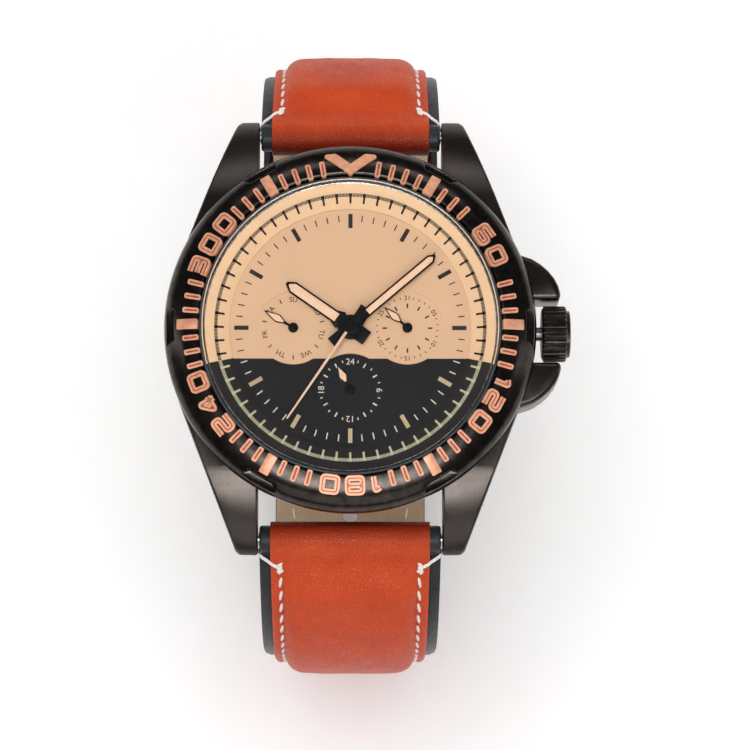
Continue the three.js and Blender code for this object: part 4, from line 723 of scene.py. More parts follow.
def drop_hand(name, node, body, length, turn, centre):
    bottom = 8.3
    wide = 0.5
    drop = [(-0.14, 0), (0.14, 0), (0.15, length * 0.3), (wide, length * 0.52), (wide * 0.95, length * 0.6),
            (0.05, length), (-0.05, length), (-wide * 0.95, length * 0.6), (-wide, length * 0.52),
            (-0.15, length * 0.3)]
    blade = slab(name, drop, bottom, bottom + 0.15)
    window = [(-0.08, length * 0.34), (0.08, length * 0.34), (wide - 0.12, length * 0.53),
              (wide - 0.14, length * 0.6), (0.0, length * 0.92), (-wide + 0.14, length * 0.6),
              (-wide + 0.12, length * 0.53)]
    combine(blade, slab("drop_window", window, bottom - 1, bottom + 1), "DIFFERENCE")
    hub = turned("drop_hub", [(0, bottom), (0.6, bottom), (0.6, bottom + 0.18), (0.48, bottom + 0.28),
                              (0, bottom + 0.3)], steps=48, ring=False)
    combine(blade, hub, "UNION")
    finished(at_angle(blade, turn, centre), body, HAND_BLACK, [node], smooth=30)
    lume = slab(name + "_lume", window, bottom + 0.02, bottom + 0.12)
    finished(at_angle(lume, turn, centre), body, LUME, smooth=30)


drop_hand("day_drop", "hand_day", "day_hand", 4.0, 301, DAY_AT)
drop_hand("date_drop", "hand_date", "date_hand", 3.6, 312, DATE_AT)
drop_hand("hours_drop", "hand_24h", "hand_24h", 3.35, 332, HOURS_AT)

# Glass. A flat mineral crystal with a ground bevel, pressed into a black nylon gasket, clear enough
# for the lamps to light the dial under it.
def clear_glass():
    """Glass that lets lamps light what is under it, with faint smears on the surface."""
    finish, tree, shader = new_finish("crystal_glass", IOR=1.45, Transmission_Weight=1.0, Roughness=0.0)
    shader.inputs["Base Color"].default_value = rgb(250, 252, 252)
    through = put(tree, "BsdfTransparent")
    ray = put(tree, "LightPath").outputs["Is Shadow Ray"]
    where = object_place(tree)
    smear = noise(tree, where, 200.0, 3.0)
    tree.links.new(ranged(tree, smear, 0.5, 0.8, 0.0, 0.004), shader.inputs["Roughness"])
    mix = put(tree, "MixShader", None, {0: ray, 1: shader.outputs[0], 2: through.outputs[0]})
    tree.links.new(mix.outputs[0], tree.nodes["Material Output"].inputs[0])
    return finish


glass = turned("crystal_pane", [
    (0, 9.75), (17.65, 9.75), (17.65, 11.15), (17.5, 11.35), (0, 11.35),
], steps=180, ring=False)
finished(glass, "case", clear_glass(), ["crystal"], smooth=20)
gasket = turned("crystal_seal", [
    (17.7, 9.62), (17.95, 9.62), (17.95, 10.85), (17.9, 10.9), (17.7, 10.9),
], steps=180)
SEAL = moulded("seal_nylon", rgb(44, 52, 60), rgb(66, 76, 86), 0.35)
finished(gasket, "case", SEAL, ["crystal_gasket"], smooth=30)

# Bezel. A black-coated steel ring that turns on a wire spring, with six finger recesses milled in
# its slope. Its compass scale is raised from the metal and filled with rose gilding.
BEZEL_PROFILE = [(18.1, 11.0), (18.2, 11.2), (18.45, 11.3), (19.1, 11.22), (19.8, 11.05), (20.5, 10.75),
                 (21.05, 10.42), (21.5, 10.05), (21.85, 9.65), (22.08, 9.2), (22.2, 8.7), (22.2, 8.1),
                 (21.9, 7.7)]
MARK_RISE = 0.16


def bezel_height(radius):
    """Height of the bezel's top surface at a radius, in mm."""
    return float(np.interp(radius, [r for r, z in BEZEL_PROFILE[:11]], [z for r, z in BEZEL_PROFILE[:11]]))


bezel = turned("bezel_ring", BEZEL_PROFILE + [
    (19.75, 7.7), (19.75, 8.3), (20.15, 8.3), (20.15, 8.9), (19.75, 8.9), (19.75, 10.1), (18.1, 10.1),
], steps=180)
for i in range(6):
    middle = math.radians(60 * i)
    arc = [middle + math.radians(step) for step in np.linspace(-6.2, 6.2, 9)]
    edge = [(21.88 * math.cos(a), 21.88 * math.sin(a)) for a in arc]
    edge += [(20.95 * math.cos(a), 20.95 * math.sin(a)) for a in arc[1:-1][::-1]]
    pocket = slab("pocket", edge, 9.05, 12)
    combine(bezel, pocket, "DIFFERENCE")
round_off(bezel, 0.05, 2, 32)
BEZEL_FINISH = coated_metal("bezel_coating", rgb(52, 48, 46), rgb(78, 71, 67), 0.2,
                            (1, 1, 1), 0.08, 0.9, 0.12, 0.9)
finished(bezel, "bezel", BEZEL_FINISH, ["bezel"], smooth=28)


def gilded(name, low, high, rough):
    """Rose gilding, a little rubbed on top, with a painted highlight along its edges; in its darker brown
    version it is painted shade in the grooves.
    """
    finish, tree, shader = new_finish(name, Metallic=0.3)
    where = object_place(tree)
    rubbed = noise(tree, where, 1300.0, 4.0, 0.7)
    # painted highlight: the edge mask lifts the edges towards pale rose (255, 214, 186), for light caught on
    # the marks' bevels
    wear_and_highlight = used(tree, EDGE_WEAR_AND_HIGHLIGHT, Width=0.07 * MM, Amount=1.0).outputs["WearAndHighlight"]
    tone = blended(tree, ranged(tree, rubbed, 0.35, 0.65), low, high)
    tree.links.new(blended(tree, wear_and_highlight, tone, rgb(255, 214, 186)), shader.inputs["Base Color"])
    tree.links.new(compute(tree, "MULTIPLY_ADD", rubbed, 0.3, rough - 0.12), shader.inputs["Roughness"])
    bumped(tree, shader, 0.35, 0.01, rubbed)
    return finish


GILDING = gilded("rose_gilding", rgb(226, 150, 114), rgb(244, 180, 146), 0.42)
# painted shade: this darker brown gilding fills the marks' grooves and the middle of the numeral strokes, for
# the shadow in the grooves
HOLLOW_SHADE = gilded("gilding_hollow_shade", rgb(150, 66, 38), rgb(190, 92, 56), 0.5)


def laid_on_bezel(piece, turn=0.0, at=19.3):
    """Drop a flat mark, drawn round (0, 0) with its top to +Y, onto the slope at a clock angle."""
    lean = math.atan2(bezel_height(at + 0.8) - bezel_height(at - 0.8), 1.6)
    place = Vector((0, at, bezel_height(at))) * MM
    move = Matrix.Rotation(-math.radians(turn), 4, "Z") @ Matrix.Translation(place)
    piece.data.transform(move @ Matrix.Rotation(lean, 4, "X"))
    return piece


def rounded_box(half_x, half_y, corner, steps=4):
    points = []
    for x, y, start in ((1, 1, 0), (-1, 1, 90), (-1, -1, 180), (1, -1, 270)):
        for k in range(steps + 1):
            angle = math.radians(start + 90 * k / steps)
            points.append((x * (half_x - corner) + corner * math.cos(angle),
                           y * (half_y - corner) + corner * math.sin(angle)))
    return points


def grooved_bar(name, half_x, half_y, corner, wall):
    """A raised bar whose flat top is inset and pressed down into a slot, coloured darker brown there as
    painted shade.
    """
    piece = slab(name, rounded_box(half_x, half_y, corner), -0.5, MARK_RISE)
    only(piece)
    piece.data.materials.append(GILDING)
    piece.data.materials.append(HOLLOW_SHADE)
    bpy.ops.object.mode_set(mode="EDIT")
    bpy.ops.mesh.select_all(action="DESELECT")
    bpy.ops.object.mode_set(mode="OBJECT")
    for face in piece.data.polygons:
        face.select = face.normal.z > 0.9
    bpy.ops.object.mode_set(mode="EDIT")
    bpy.ops.mesh.inset(thickness=wall * MM)
    bpy.ops.mesh.extrude_region_move(TRANSFORM_OT_translate={"value": (0, 0, -0.07 * MM)})
    piece.active_material_index = 1
    bpy.ops.object.material_slot_assign()
    bpy.ops.object.mode_set(mode="OBJECT")
    return piece


def copied(piece, name):
    """A copy of a piece with its own mesh."""
    twin = piece.copy()
    twin.data = piece.data.copy()
    twin.name = twin.data.name = name
    bpy.context.scene.collection.objects.link(twin)
    return twin


bar = grooved_bar("scale_bar", 0.32, 0.96, 0.2, 0.2)
bars = [laid_on_bezel(copied(bar, "bar"), turn, 19.0)
        for sector in range(6) for turn in [60 * sector + step for step in (15, 20, 25, 35, 40, 45)]]
bars += [laid_on_bezel(copied(bar, "bar"), turn, 19.0) for turn in (10, 350)]
bpy.data.objects.remove(bar)
scale_bars = welded(bars, "scale_bars")
finished(scale_bars, "bezel", [GILDING, HOLLOW_SHADE], smooth=30)

block = slab("scale_block", rounded_box(0.62, 1.27, 0.14), -0.6, MARK_RISE)
round_off(block, 0.06, 2, 40)
blocks = [laid_on_bezel(copied(block, "block"), 30 + 60 * sector, 19.35) for sector in range(6)]
bpy.data.objects.remove(block)
finished(welded(blocks, "scale_blocks"), "bezel", GILDING, smooth=30)

arrow = slab("scale_arrow", [
    (-3.12, 1.05), (-2.95, 1.3), (-1.85, 1.42), (-1.6, 1.32), (0, 0.1), (1.6, 1.32), (1.85, 1.42),
    (2.95, 1.3), (3.12, 1.05), (3.05, 0.85), (0, -1.3), (-3.05, 0.85),
], -0.6, MARK_RISE + 0.04)
round_off(arrow, 0.06, 2, 40)
finished(laid_on_bezel(arrow, 0, 19.3), "bezel", GILDING, smooth=30)

# The numerals are single rounded strokes: a broad raised wall and a thin darker strip along its middle,
# painted shade standing for a groove.
WIDE, TALL = 0.88, 0.86
STROKES = {
    "0": [[(-WIDE, -TALL), (-WIDE, TALL), (WIDE, TALL), (WIDE, -TALL), None]],
    "1": [[(-0.5, TALL - 0.32), (0.12, TALL), (0.12, -TALL)]],
    "2": [[(-WIDE, TALL), (WIDE, TALL), (WIDE, 0.0), (-WIDE, 0.0), (-WIDE, -TALL), (WIDE, -TALL)]],
    "3": [[(-WIDE, TALL), (WIDE, TALL), (WIDE, -TALL), (-WIDE, -TALL)], [(-WIDE + 0.1, 0), (WIDE, 0)]],
    "4": [[(0.42, -TALL), (0.42, TALL), (0.2, TALL), (-WIDE, -0.32), (WIDE, -0.32)]],
    "6": [[(WIDE, TALL), (-WIDE, TALL), (-WIDE, -TALL), (WIDE, -TALL), (WIDE, 0.0), (-WIDE, 0.0)]],
    "8": [[(-WIDE, -TALL), (-WIDE, TALL), (WIDE, TALL), (WIDE, -TALL), None], [(-WIDE, 0), (WIDE, 0)]],
}


def softened(points, closed, radius=0.34, steps=4):
    """The same stroke with its corners rounded."""
    count = len(points)
    path = []
    for i, here in enumerate(points):
        here = Vector(here)
        if not closed and i in (0, count - 1):
            path.append(here)
            continue
        before, after = Vector(points[i - 1]), Vector(points[(i + 1) % count])
        reach = min(radius, (before - here).length / 2, (after - here).length / 2)
        start = here + (before - here).normalized() * reach
        end = here + (after - here).normalized() * reach
        for k in range(steps + 1):
            t = k / steps
            path.append(start * (1 - t) ** 2 + here * 2 * t * (1 - t) + end * t * t)
    return path


def swept(name, points, closed, half_width, low, high):
    """A flat-topped wall along a stroke, by a curve with a drawn section, made a mesh."""
    put_away()
    section = bpy.data.curves.new(name + "_section", "CURVE")
    spline = section.splines.new("POLY")
    edge = 0.05
    corners = [(-half_width, low), (-half_width, high - edge), (-half_width + edge, high),
               (half_width - edge, high), (half_width, high - edge), (half_width, low)]
    spline.points.add(len(corners) - 1)
    for point, (x, y) in zip(spline.points, corners):
        point.co = (x * MM, y * MM, 0, 1)
    spline.use_cyclic_u = True
    cutter = bpy.data.objects.new(name + "_section", section)
    bpy.context.scene.collection.objects.link(cutter)
    stroke_curve = bpy.data.curves.new(name, "CURVE")
    stroke_curve.dimensions = "2D"
    line = stroke_curve.splines.new("POLY")
    line.points.add(len(points) - 1)
    for point, place in zip(line.points, points):
        point.co = (place[0] * MM, place[1] * MM, 0, 1)
    line.use_cyclic_u = closed
    stroke_curve.bevel_mode = "OBJECT"
    stroke_curve.bevel_object = cutter
    stroke_curve.use_fill_caps = True
    piece = bpy.data.objects.new(name, stroke_curve)
    bpy.context.scene.collection.objects.link(piece)
    only(piece)
    bpy.ops.object.convert(target="MESH")
    bpy.data.objects.remove(cutter)
    piece = bpy.context.object
    bpy.ops.object.mode_set(mode="EDIT")
    clean()
    return piece


def numeral(digit, turn):
    walls, groove_shades = [], []
    for drawn in STROKES[digit]:
        closed = drawn[-1] is None
        points = softened([p for p in drawn if p is not None], closed)
        walls.append(swept("wall", points, closed, 0.35, -0.5, MARK_RISE))
        # painted shade: the darker strip lies just above the wall's top, for the shadow of a groove that is
        # not cut
        groove_shades.append(swept("hollow", points, closed, 0.12, -0.3, MARK_RISE + 0.006))
    for piece in walls + groove_shades:
        laid_on_bezel(piece, turn, 19.25)
    return walls, groove_shades


walls, groove_shades = [], []
DIGIT_STEP = 8.85
for number in ("60", "120", "180", "240", "300"):
    widths = [0.62 if digit == "1" else 1.0 for digit in number]
    place = -sum(widths) / 2
    for digit, width in zip(number, widths):
        more_walls, more_groove_shades = numeral(digit, int(number) + (place + width / 2) * DIGIT_STEP)
        walls += more_walls
        groove_shades += more_groove_shades
        place += width
finished(welded(walls, "scale_numerals"), "bezel", GILDING, smooth=40)
finished(welded(groove_shades, "numeral_groove_shade"), "bezel", HOLLOW_SHADE, smooth=40)

# Strap. Two padded halves round the wrist: a black base strip rolled round each spring bar, a rust
# top leather stuffed and saddle-stitched onto it with white thread, and a tan lining inside.
BAR_END_Y = 15.0
STRAP_FLAT_Z = -60.0
WIDEST_Y, WIDEST_Z = 35.6, -16.8
FLAT_Y = 17
BASE_FACE = 0.75
TOP_FACE = 1.7
LINING_TOP = -0.8
PAD_RISE = 1.45
LINING_FACE = -1.75


def bezier(points, count):
    t = np.linspace(0, 1, count)[:, None]
    a, b, c, d = [np.array(p, float) for p in points]
    return a * (1 - t) ** 3 + b * 3 * t * (1 - t) ** 2 + c * 3 * t * t * (1 - t) + d * t ** 3


class StrapLine:
    """Centre line of the black strip in (y, z), measured along its length from the spring bar."""

    def __init__(self, side, end_y):
        fall = math.radians(35)
        first = bezier([(BAR_Y, BAR_Z), (BAR_Y + 8 * math.cos(fall), BAR_Z - 8 * math.sin(fall)),
                        (WIDEST_Y, WIDEST_Z + 8), (WIDEST_Y, WIDEST_Z)], 400)
        second = bezier([(WIDEST_Y, WIDEST_Z), (WIDEST_Y, WIDEST_Z - 22), (30, STRAP_FLAT_Z),
                         (FLAT_Y, STRAP_FLAT_Z)], 800)
        last = np.linspace((FLAT_Y, STRAP_FLAT_Z), (end_y, STRAP_FLAT_Z), 200)
        self.points = np.vstack([first, second[1:], last[1:]])
        self.lengths = np.concatenate([[0], np.cumsum(np.linalg.norm(np.diff(self.points, axis=0), axis=1))])
        self.length = float(self.lengths[-1])
        self.side = side

    def at(self, distance):
        """Place and outward normal at distances along the strap."""
        def place(d):
            return np.stack([np.interp(d, self.lengths, self.points[:, k]) for k in (0, 1)], -1)
        distance = np.asarray(distance, float)
        ahead = place(np.minimum(distance + 0.3, self.length))
        behind = place(np.maximum(distance - 0.3, 0))
        tangent = ahead - behind
        tangent /= np.linalg.norm(tangent, axis=-1, keepdims=True)
        here = place(distance)
        normal = np.stack([-tangent[..., 1], tangent[..., 0]], -1)
        return here, normal

    def world(self, across, distance, offset):
        """Points in metres from widths, distances and heights over the centre line, in mm."""
        here, normal = self.at(distance)
        place = here + normal * np.asarray(offset)[..., None]
        return np.stack([across, self.side * place[..., 0], place[..., 1]], -1) * MM

    def frame_at(self, across, distance, offset):
        """A matrix whose X runs across the strap, Y along it and Z out of it."""
        here, normal = self.at(distance)
        x = Vector((1, 0, 0))
        z = Vector((0, self.side * normal[0], normal[1]))
        y = z.cross(x)
        place = Vector(self.world(np.array(across), np.array(distance), np.array(offset)))
        turn = Matrix((x, y, z)).transposed().to_4x4()
        return Matrix.Translation(place) @ turn


LINES = {"12": StrapLine(1, BAR_END_Y), "6": StrapLine(-1, -5.2)}


def strap_half_width(distance):
    return (21.8 + (20.4 - 21.8) * np.clip(np.asarray(distance) / 68, 0, 1)) / 2


def tip_factor(distance, end, stretch):
    """How far the width has closed towards the point of the long half."""
    if not stretch:
        return np.ones_like(np.asarray(distance, float))
    left = np.clip((end - np.asarray(distance)) / stretch, 0.0, 1)
    return np.sqrt(np.clip(1 - (1 - left) ** 2, 0.0004, 1))


def smooth_step(value, low, high):
    t = np.clip((np.asarray(value) - low) / (high - low), 0, 1)
    return t * t * (3 - 2 * t)


def ripple(across, distance, scale, seed):
    """Small smooth unevenness, the same on each run."""
    a, b = across * scale, distance * scale
    return (np.sin(1.7 * a + 2.3 * np.sin(0.9 * b + seed)) + np.sin(2.1 * b + 1.9 * np.sin(1.3 * a - seed))
            + 0.5 * np.sin(4.1 * a + 3.3 * b + seed)) / 2.5


def bent_strip(name, line, start, end, half_width, outer, inner, columns, pitch, tip=0.0):
    """A strip of leather laid along the strap line: a grid, moved into place, given its thickness."""
    rows = int((end - start) / pitch)
    put_away()
    bpy.ops.mesh.primitive_grid_add(x_subdivisions=columns, y_subdivisions=rows, size=2)
    piece = bpy.context.object
    piece.name = piece.data.name = name
    mesh = piece.data
    flat = np.empty(len(mesh.vertices) * 3)
    mesh.vertices.foreach_get("co", flat)
    flat = flat.reshape(-1, 3)
    share = flat[:, 0]
    distance = start + (flat[:, 1] + 1) / 2 * (end - start)
    width = half_width(distance) * tip_factor(distance, end, tip)
    across = share * width
    mesh.vertices.foreach_set("co", line.world(across, distance, outer(share, across, distance)).ravel())
    only(piece)
    bpy.ops.object.mode_set(mode="EDIT")
    bpy.ops.mesh.select_all(action="SELECT")
    bpy.ops.mesh.extrude_region_move()
    bpy.ops.object.mode_set(mode="OBJECT")
    below = np.array([vertex.select for vertex in mesh.vertices])
    every = np.empty(len(mesh.vertices) * 3)
    mesh.vertices.foreach_get("co", every)
    every = every.reshape(-1, 3)
    every[below] = line.world(across, distance, inner(share, across, distance))[:below.sum()]
    mesh.vertices.foreach_set("co", every.ravel())
    bpy.ops.object.mode_set(mode="EDIT")
    clean()
    return piece


def make_leather_grain():
    """Pebbled grain: rounded cells parted by fine creases, of mixed size, with pores and long folds."""
    tree, inn, out = effect("leather_grain", [("Pebble", "Float", 0.6), ("Fold", "Float", 0.3)],
                            [("Height", "Float"), ("Crease", "Float"), ("Mottle", "Float")])
    where = object_place(tree)
    density = compute(tree, "DIVIDE", 1000.0, inn.outputs["Pebble"])
    wander = put(tree, "TexNoise", None, {"Vector": where, "Scale": 500.0, "Detail": 2.0})
    bend = put(tree, "VectorMath", {"operation": "SCALE"}, {0: wander.outputs[1], "Scale": 0.0008}).outputs[0]
    moved = put(tree, "VectorMath", {"operation": "ADD"}, {0: where, 1: bend}).outputs[0]
    cells = put(tree, "TexVoronoi", {"feature": "DISTANCE_TO_EDGE"}, {"Vector": moved, "Scale": density})
    pebble = ranged(tree, cells.outputs["Distance"], 0.0, 0.22)
    folds = put(tree, "TexVoronoi", {"feature": "DISTANCE_TO_EDGE"},
                {"Vector": moved, "Scale": compute(tree, "MULTIPLY", density, 0.3)})
    fold = ranged(tree, folds.outputs["Distance"], 0.0, 0.1)
    pores = noise(tree, where, 9000.0, 2.0)
    height = compute(tree, "MULTIPLY_ADD", fold, inn.outputs["Fold"], pebble)
    height = compute(tree, "MULTIPLY_ADD", pores, 0.12, height)
    tree.links.new(height, out.inputs["Height"])
    filled = compute(tree, "MULTIPLY", pebble, compute(tree, "MULTIPLY_ADD", fold, 0.4, 0.6))
    tree.links.new(compute(tree, "SUBTRACT", 1.0, filled), out.inputs["Crease"])
    mottle = noise(tree, where, 160.0, 5.0, 0.65)
    tree.links.new(ranged(tree, mottle, 0.32, 0.68), out.inputs["Mottle"])
    return tree


LEATHER_GRAIN = make_leather_grain()


def leather(name, deep, full, crease_and_shade, worn, pebble, fold, rough, coat, bump, edge=0.5, bar_shade=0.0):
    """Dyed leather: mottled dye, darker creases, paler rubbed edges, and painted shade near the bars, where
    the case shadows the strap.
    """
    finish, tree, shader = new_finish(name, Coat_Weight=coat, Coat_Roughness=0.35, Specular_IOR_Level=0.22)
    grain = used(tree, LEATHER_GRAIN, Pebble=pebble, Fold=fold)
    dye = blended(tree, grain.outputs["Mottle"], deep, full)
    lines = compute(tree, "MULTIPLY", grain.outputs["Crease"], 0.12)
    dye = blended(tree, lines, dye, crease_and_shade)
    x, y, z = put(tree, "SeparateXYZ", None, {0: object_place(tree)}).outputs
    # painted shade: near the bars and high up, the dye is pulled towards the crease colour, standing for the
    # case's shadow on the strap
    shade_near_bar = ranged(tree, compute(tree, "ABSOLUTE", y), 22.7 * MM, 26.2 * MM, bar_shade, 0.0)
    above = ranged(tree, z, -6 * MM, -2 * MM)
    dye = blended(tree, compute(tree, "MULTIPLY", shade_near_bar, above), dye, crease_and_shade)
    wear_and_highlight = used(tree, EDGE_WEAR_AND_HIGHLIGHT, Width=0.35 * MM, Amount=edge).outputs["WearAndHighlight"]
    tree.links.new(blended(tree, wear_and_highlight, dye, worn), shader.inputs["Base Color"])
    dulled = compute(tree, "MULTIPLY_ADD", grain.outputs["Crease"], 0.2, rough)
    tree.links.new(dulled, shader.inputs["Roughness"])
    bumped(tree, shader, bump, 0.12, grain.outputs["Height"])
    return finish


# painted shade: the rust strap's third colour, deep red, serves both the grain creases and the painted shade
# near the bars (0.92)
RUST = leather("rust_leather", rgb(210, 70, 24), rgb(226, 82, 30), rgb(92, 14, 3), rgb(228, 116, 66),
               0.42, 0.5, 0.4, 0.08, 0.55, 0.3, 0.92)
BLACK = leather("black_leather", rgb(28, 29, 31), rgb(52, 54, 57), rgb(10, 10, 11), rgb(96, 98, 100),
                0.5, 0.3, 0.38, 0.25, 0.3)
TAN_LINING = leather("tan_lining", rgb(200, 168, 136), rgb(226, 198, 166), rgb(150, 116, 84),
                     rgb(222, 196, 164), 0.35, 0.2, 0.62, 0.0, 0.3)


def make_thread():
    """Waxed white thread with a fine twist."""
    finish, tree, shader = new_finish("white_thread", Sheen_Weight=0.3)
    where = object_place(tree)
    turned_where = put(tree, "Mapping", None, {"Vector": where, "Rotation": (0.6, 0.3, 0.5)}).outputs[0]
    twist = put(tree, "TexWave", None,
                {"Vector": turned_where, "Scale": 900.0, "Distortion": 1.5, "Detail": 1.0})
    soiled = noise(tree, where, 300.0, 3.0)
    pale = blended(tree, twist.outputs[1], rgb(236, 230, 222), rgb(255, 253, 250))
    tree.links.new(blended(tree, ranged(tree, soiled, 0.55, 0.85, 0.0, 0.25), pale, rgb(196, 160, 132)),
                   shader.inputs["Base Color"])
    tree.links.new(ranged(tree, soiled, 0.2, 0.8, 0.5, 0.75), shader.inputs["Roughness"])
    bumped(tree, shader, 0.5, 0.04, twist.outputs[1])
    return finish


THREAD = make_thread()
PAD_START, PAD_FULL = 1.7, 7.0
PAD_END = 47.0
TOP_MARGIN = 1.35
STITCH_INSET = 1.15
STITCH_PITCH = 1.95
STITCH_LENGTH = 1.74
FIRST_STITCH = 3.1
ROLL_OUTER = 2.12


def top_width(distance):
    return strap_half_width(distance) - TOP_MARGIN


def stitch_line(distance):
    return top_width(distance) - STITCH_INSET


def padded_height(share, across, distance):
    """Top surface: thin at the edge, a sunk stitch line, then a full crowned pad."""
    width = top_width(distance)
    lane = stitch_line(distance)
    lift = smooth_step(distance, PAD_START, PAD_FULL) * (1 - smooth_step(distance, PAD_END - 12, PAD_END))
    reach = np.abs(share) * width
    shoulder = (1 - np.clip((reach - lane + 2.3) / 2.1, 0, 1) ** 2) ** 0.6
    crown = 1 - 0.14 * (reach / lane) ** 2
    sunk = -0.16 * np.exp(-((reach - lane) / 0.33) ** 2) * smooth_step(distance, 2.5, 4.5)
    edge = -0.25 * smooth_step(reach, width - 0.35, width) * smooth_step(distance, 0, 2)
    over_roll = (ROLL_OUTER - TOP_FACE) * (1 - smooth_step(distance, 0, 3.2))
    uneven = 0.05 * ripple(across, distance, 0.55, 1.3) * shoulder
    return TOP_FACE + over_roll + PAD_RISE * lift * shoulder * crown + sunk + edge + uneven


def rolled(name, line, half, inner, outer, start, end):
    """Leather turned round a bar: a curved sheet of even thickness between two angles."""
    arc = [math.radians(a) for a in np.linspace(start, end, 40)]
    section = [(outer * math.cos(a), outer * math.sin(a)) for a in arc]
    section += [(inner * math.cos(a), inner * math.sin(a)) for a in arc[::-1]]
    placed = [(line.side * (BAR_Y + y), BAR_Z + z) for y, z in section]
    return round_off(sideways(name, placed, -half, half), 0.1, 2, 40)


def bar_roll(name, y, z, half, radius=1.65, bore=0.9):
    """The strip's end rolled up round a bar, with the bar's bore through it."""
    roll = round_off(pin(name, radius, (-half, y, z), (half, y, z), 40), 0.3, 3, 40)
    return combine(roll, pin("bore", bore, (-half - 1, y, z), (half + 1, y, z), 24), "DIFFERENCE")


def stitches(name, line, body, places, offset_of, lean=0.16, thick=0.22, length=STITCH_LENGTH):
    """A row of thread stitches, each a small rounded bead lying along the seam."""
    put_away()
    bpy.ops.mesh.primitive_uv_sphere_add(segments=8, ring_count=6, radius=1)
    bead = bpy.context.object
    shape = Matrix.Diagonal((thick * MM, length / 2 * MM, thick * 0.8 * MM, 1))
    beads = []
    for across, distance, turn in places:
        twin = copied(bead, "bead")
        set_down = line.frame_at(across, distance, offset_of(across, distance))
        tilt = Matrix.Rotation(turn + lean * (1 if across > 0 else -1), 4, "Z")
        twin.data.transform(set_down @ tilt @ shape)
        beads.append(twin)
    bpy.data.objects.remove(bead)
    row = welded(beads, name)
    finished(row, body, THREAD, smooth=80)


def seam_height(across, distance):
    share = np.array(across / top_width(distance))
    return float(padded_height(share, np.array(across), np.array(distance))) + 0.03


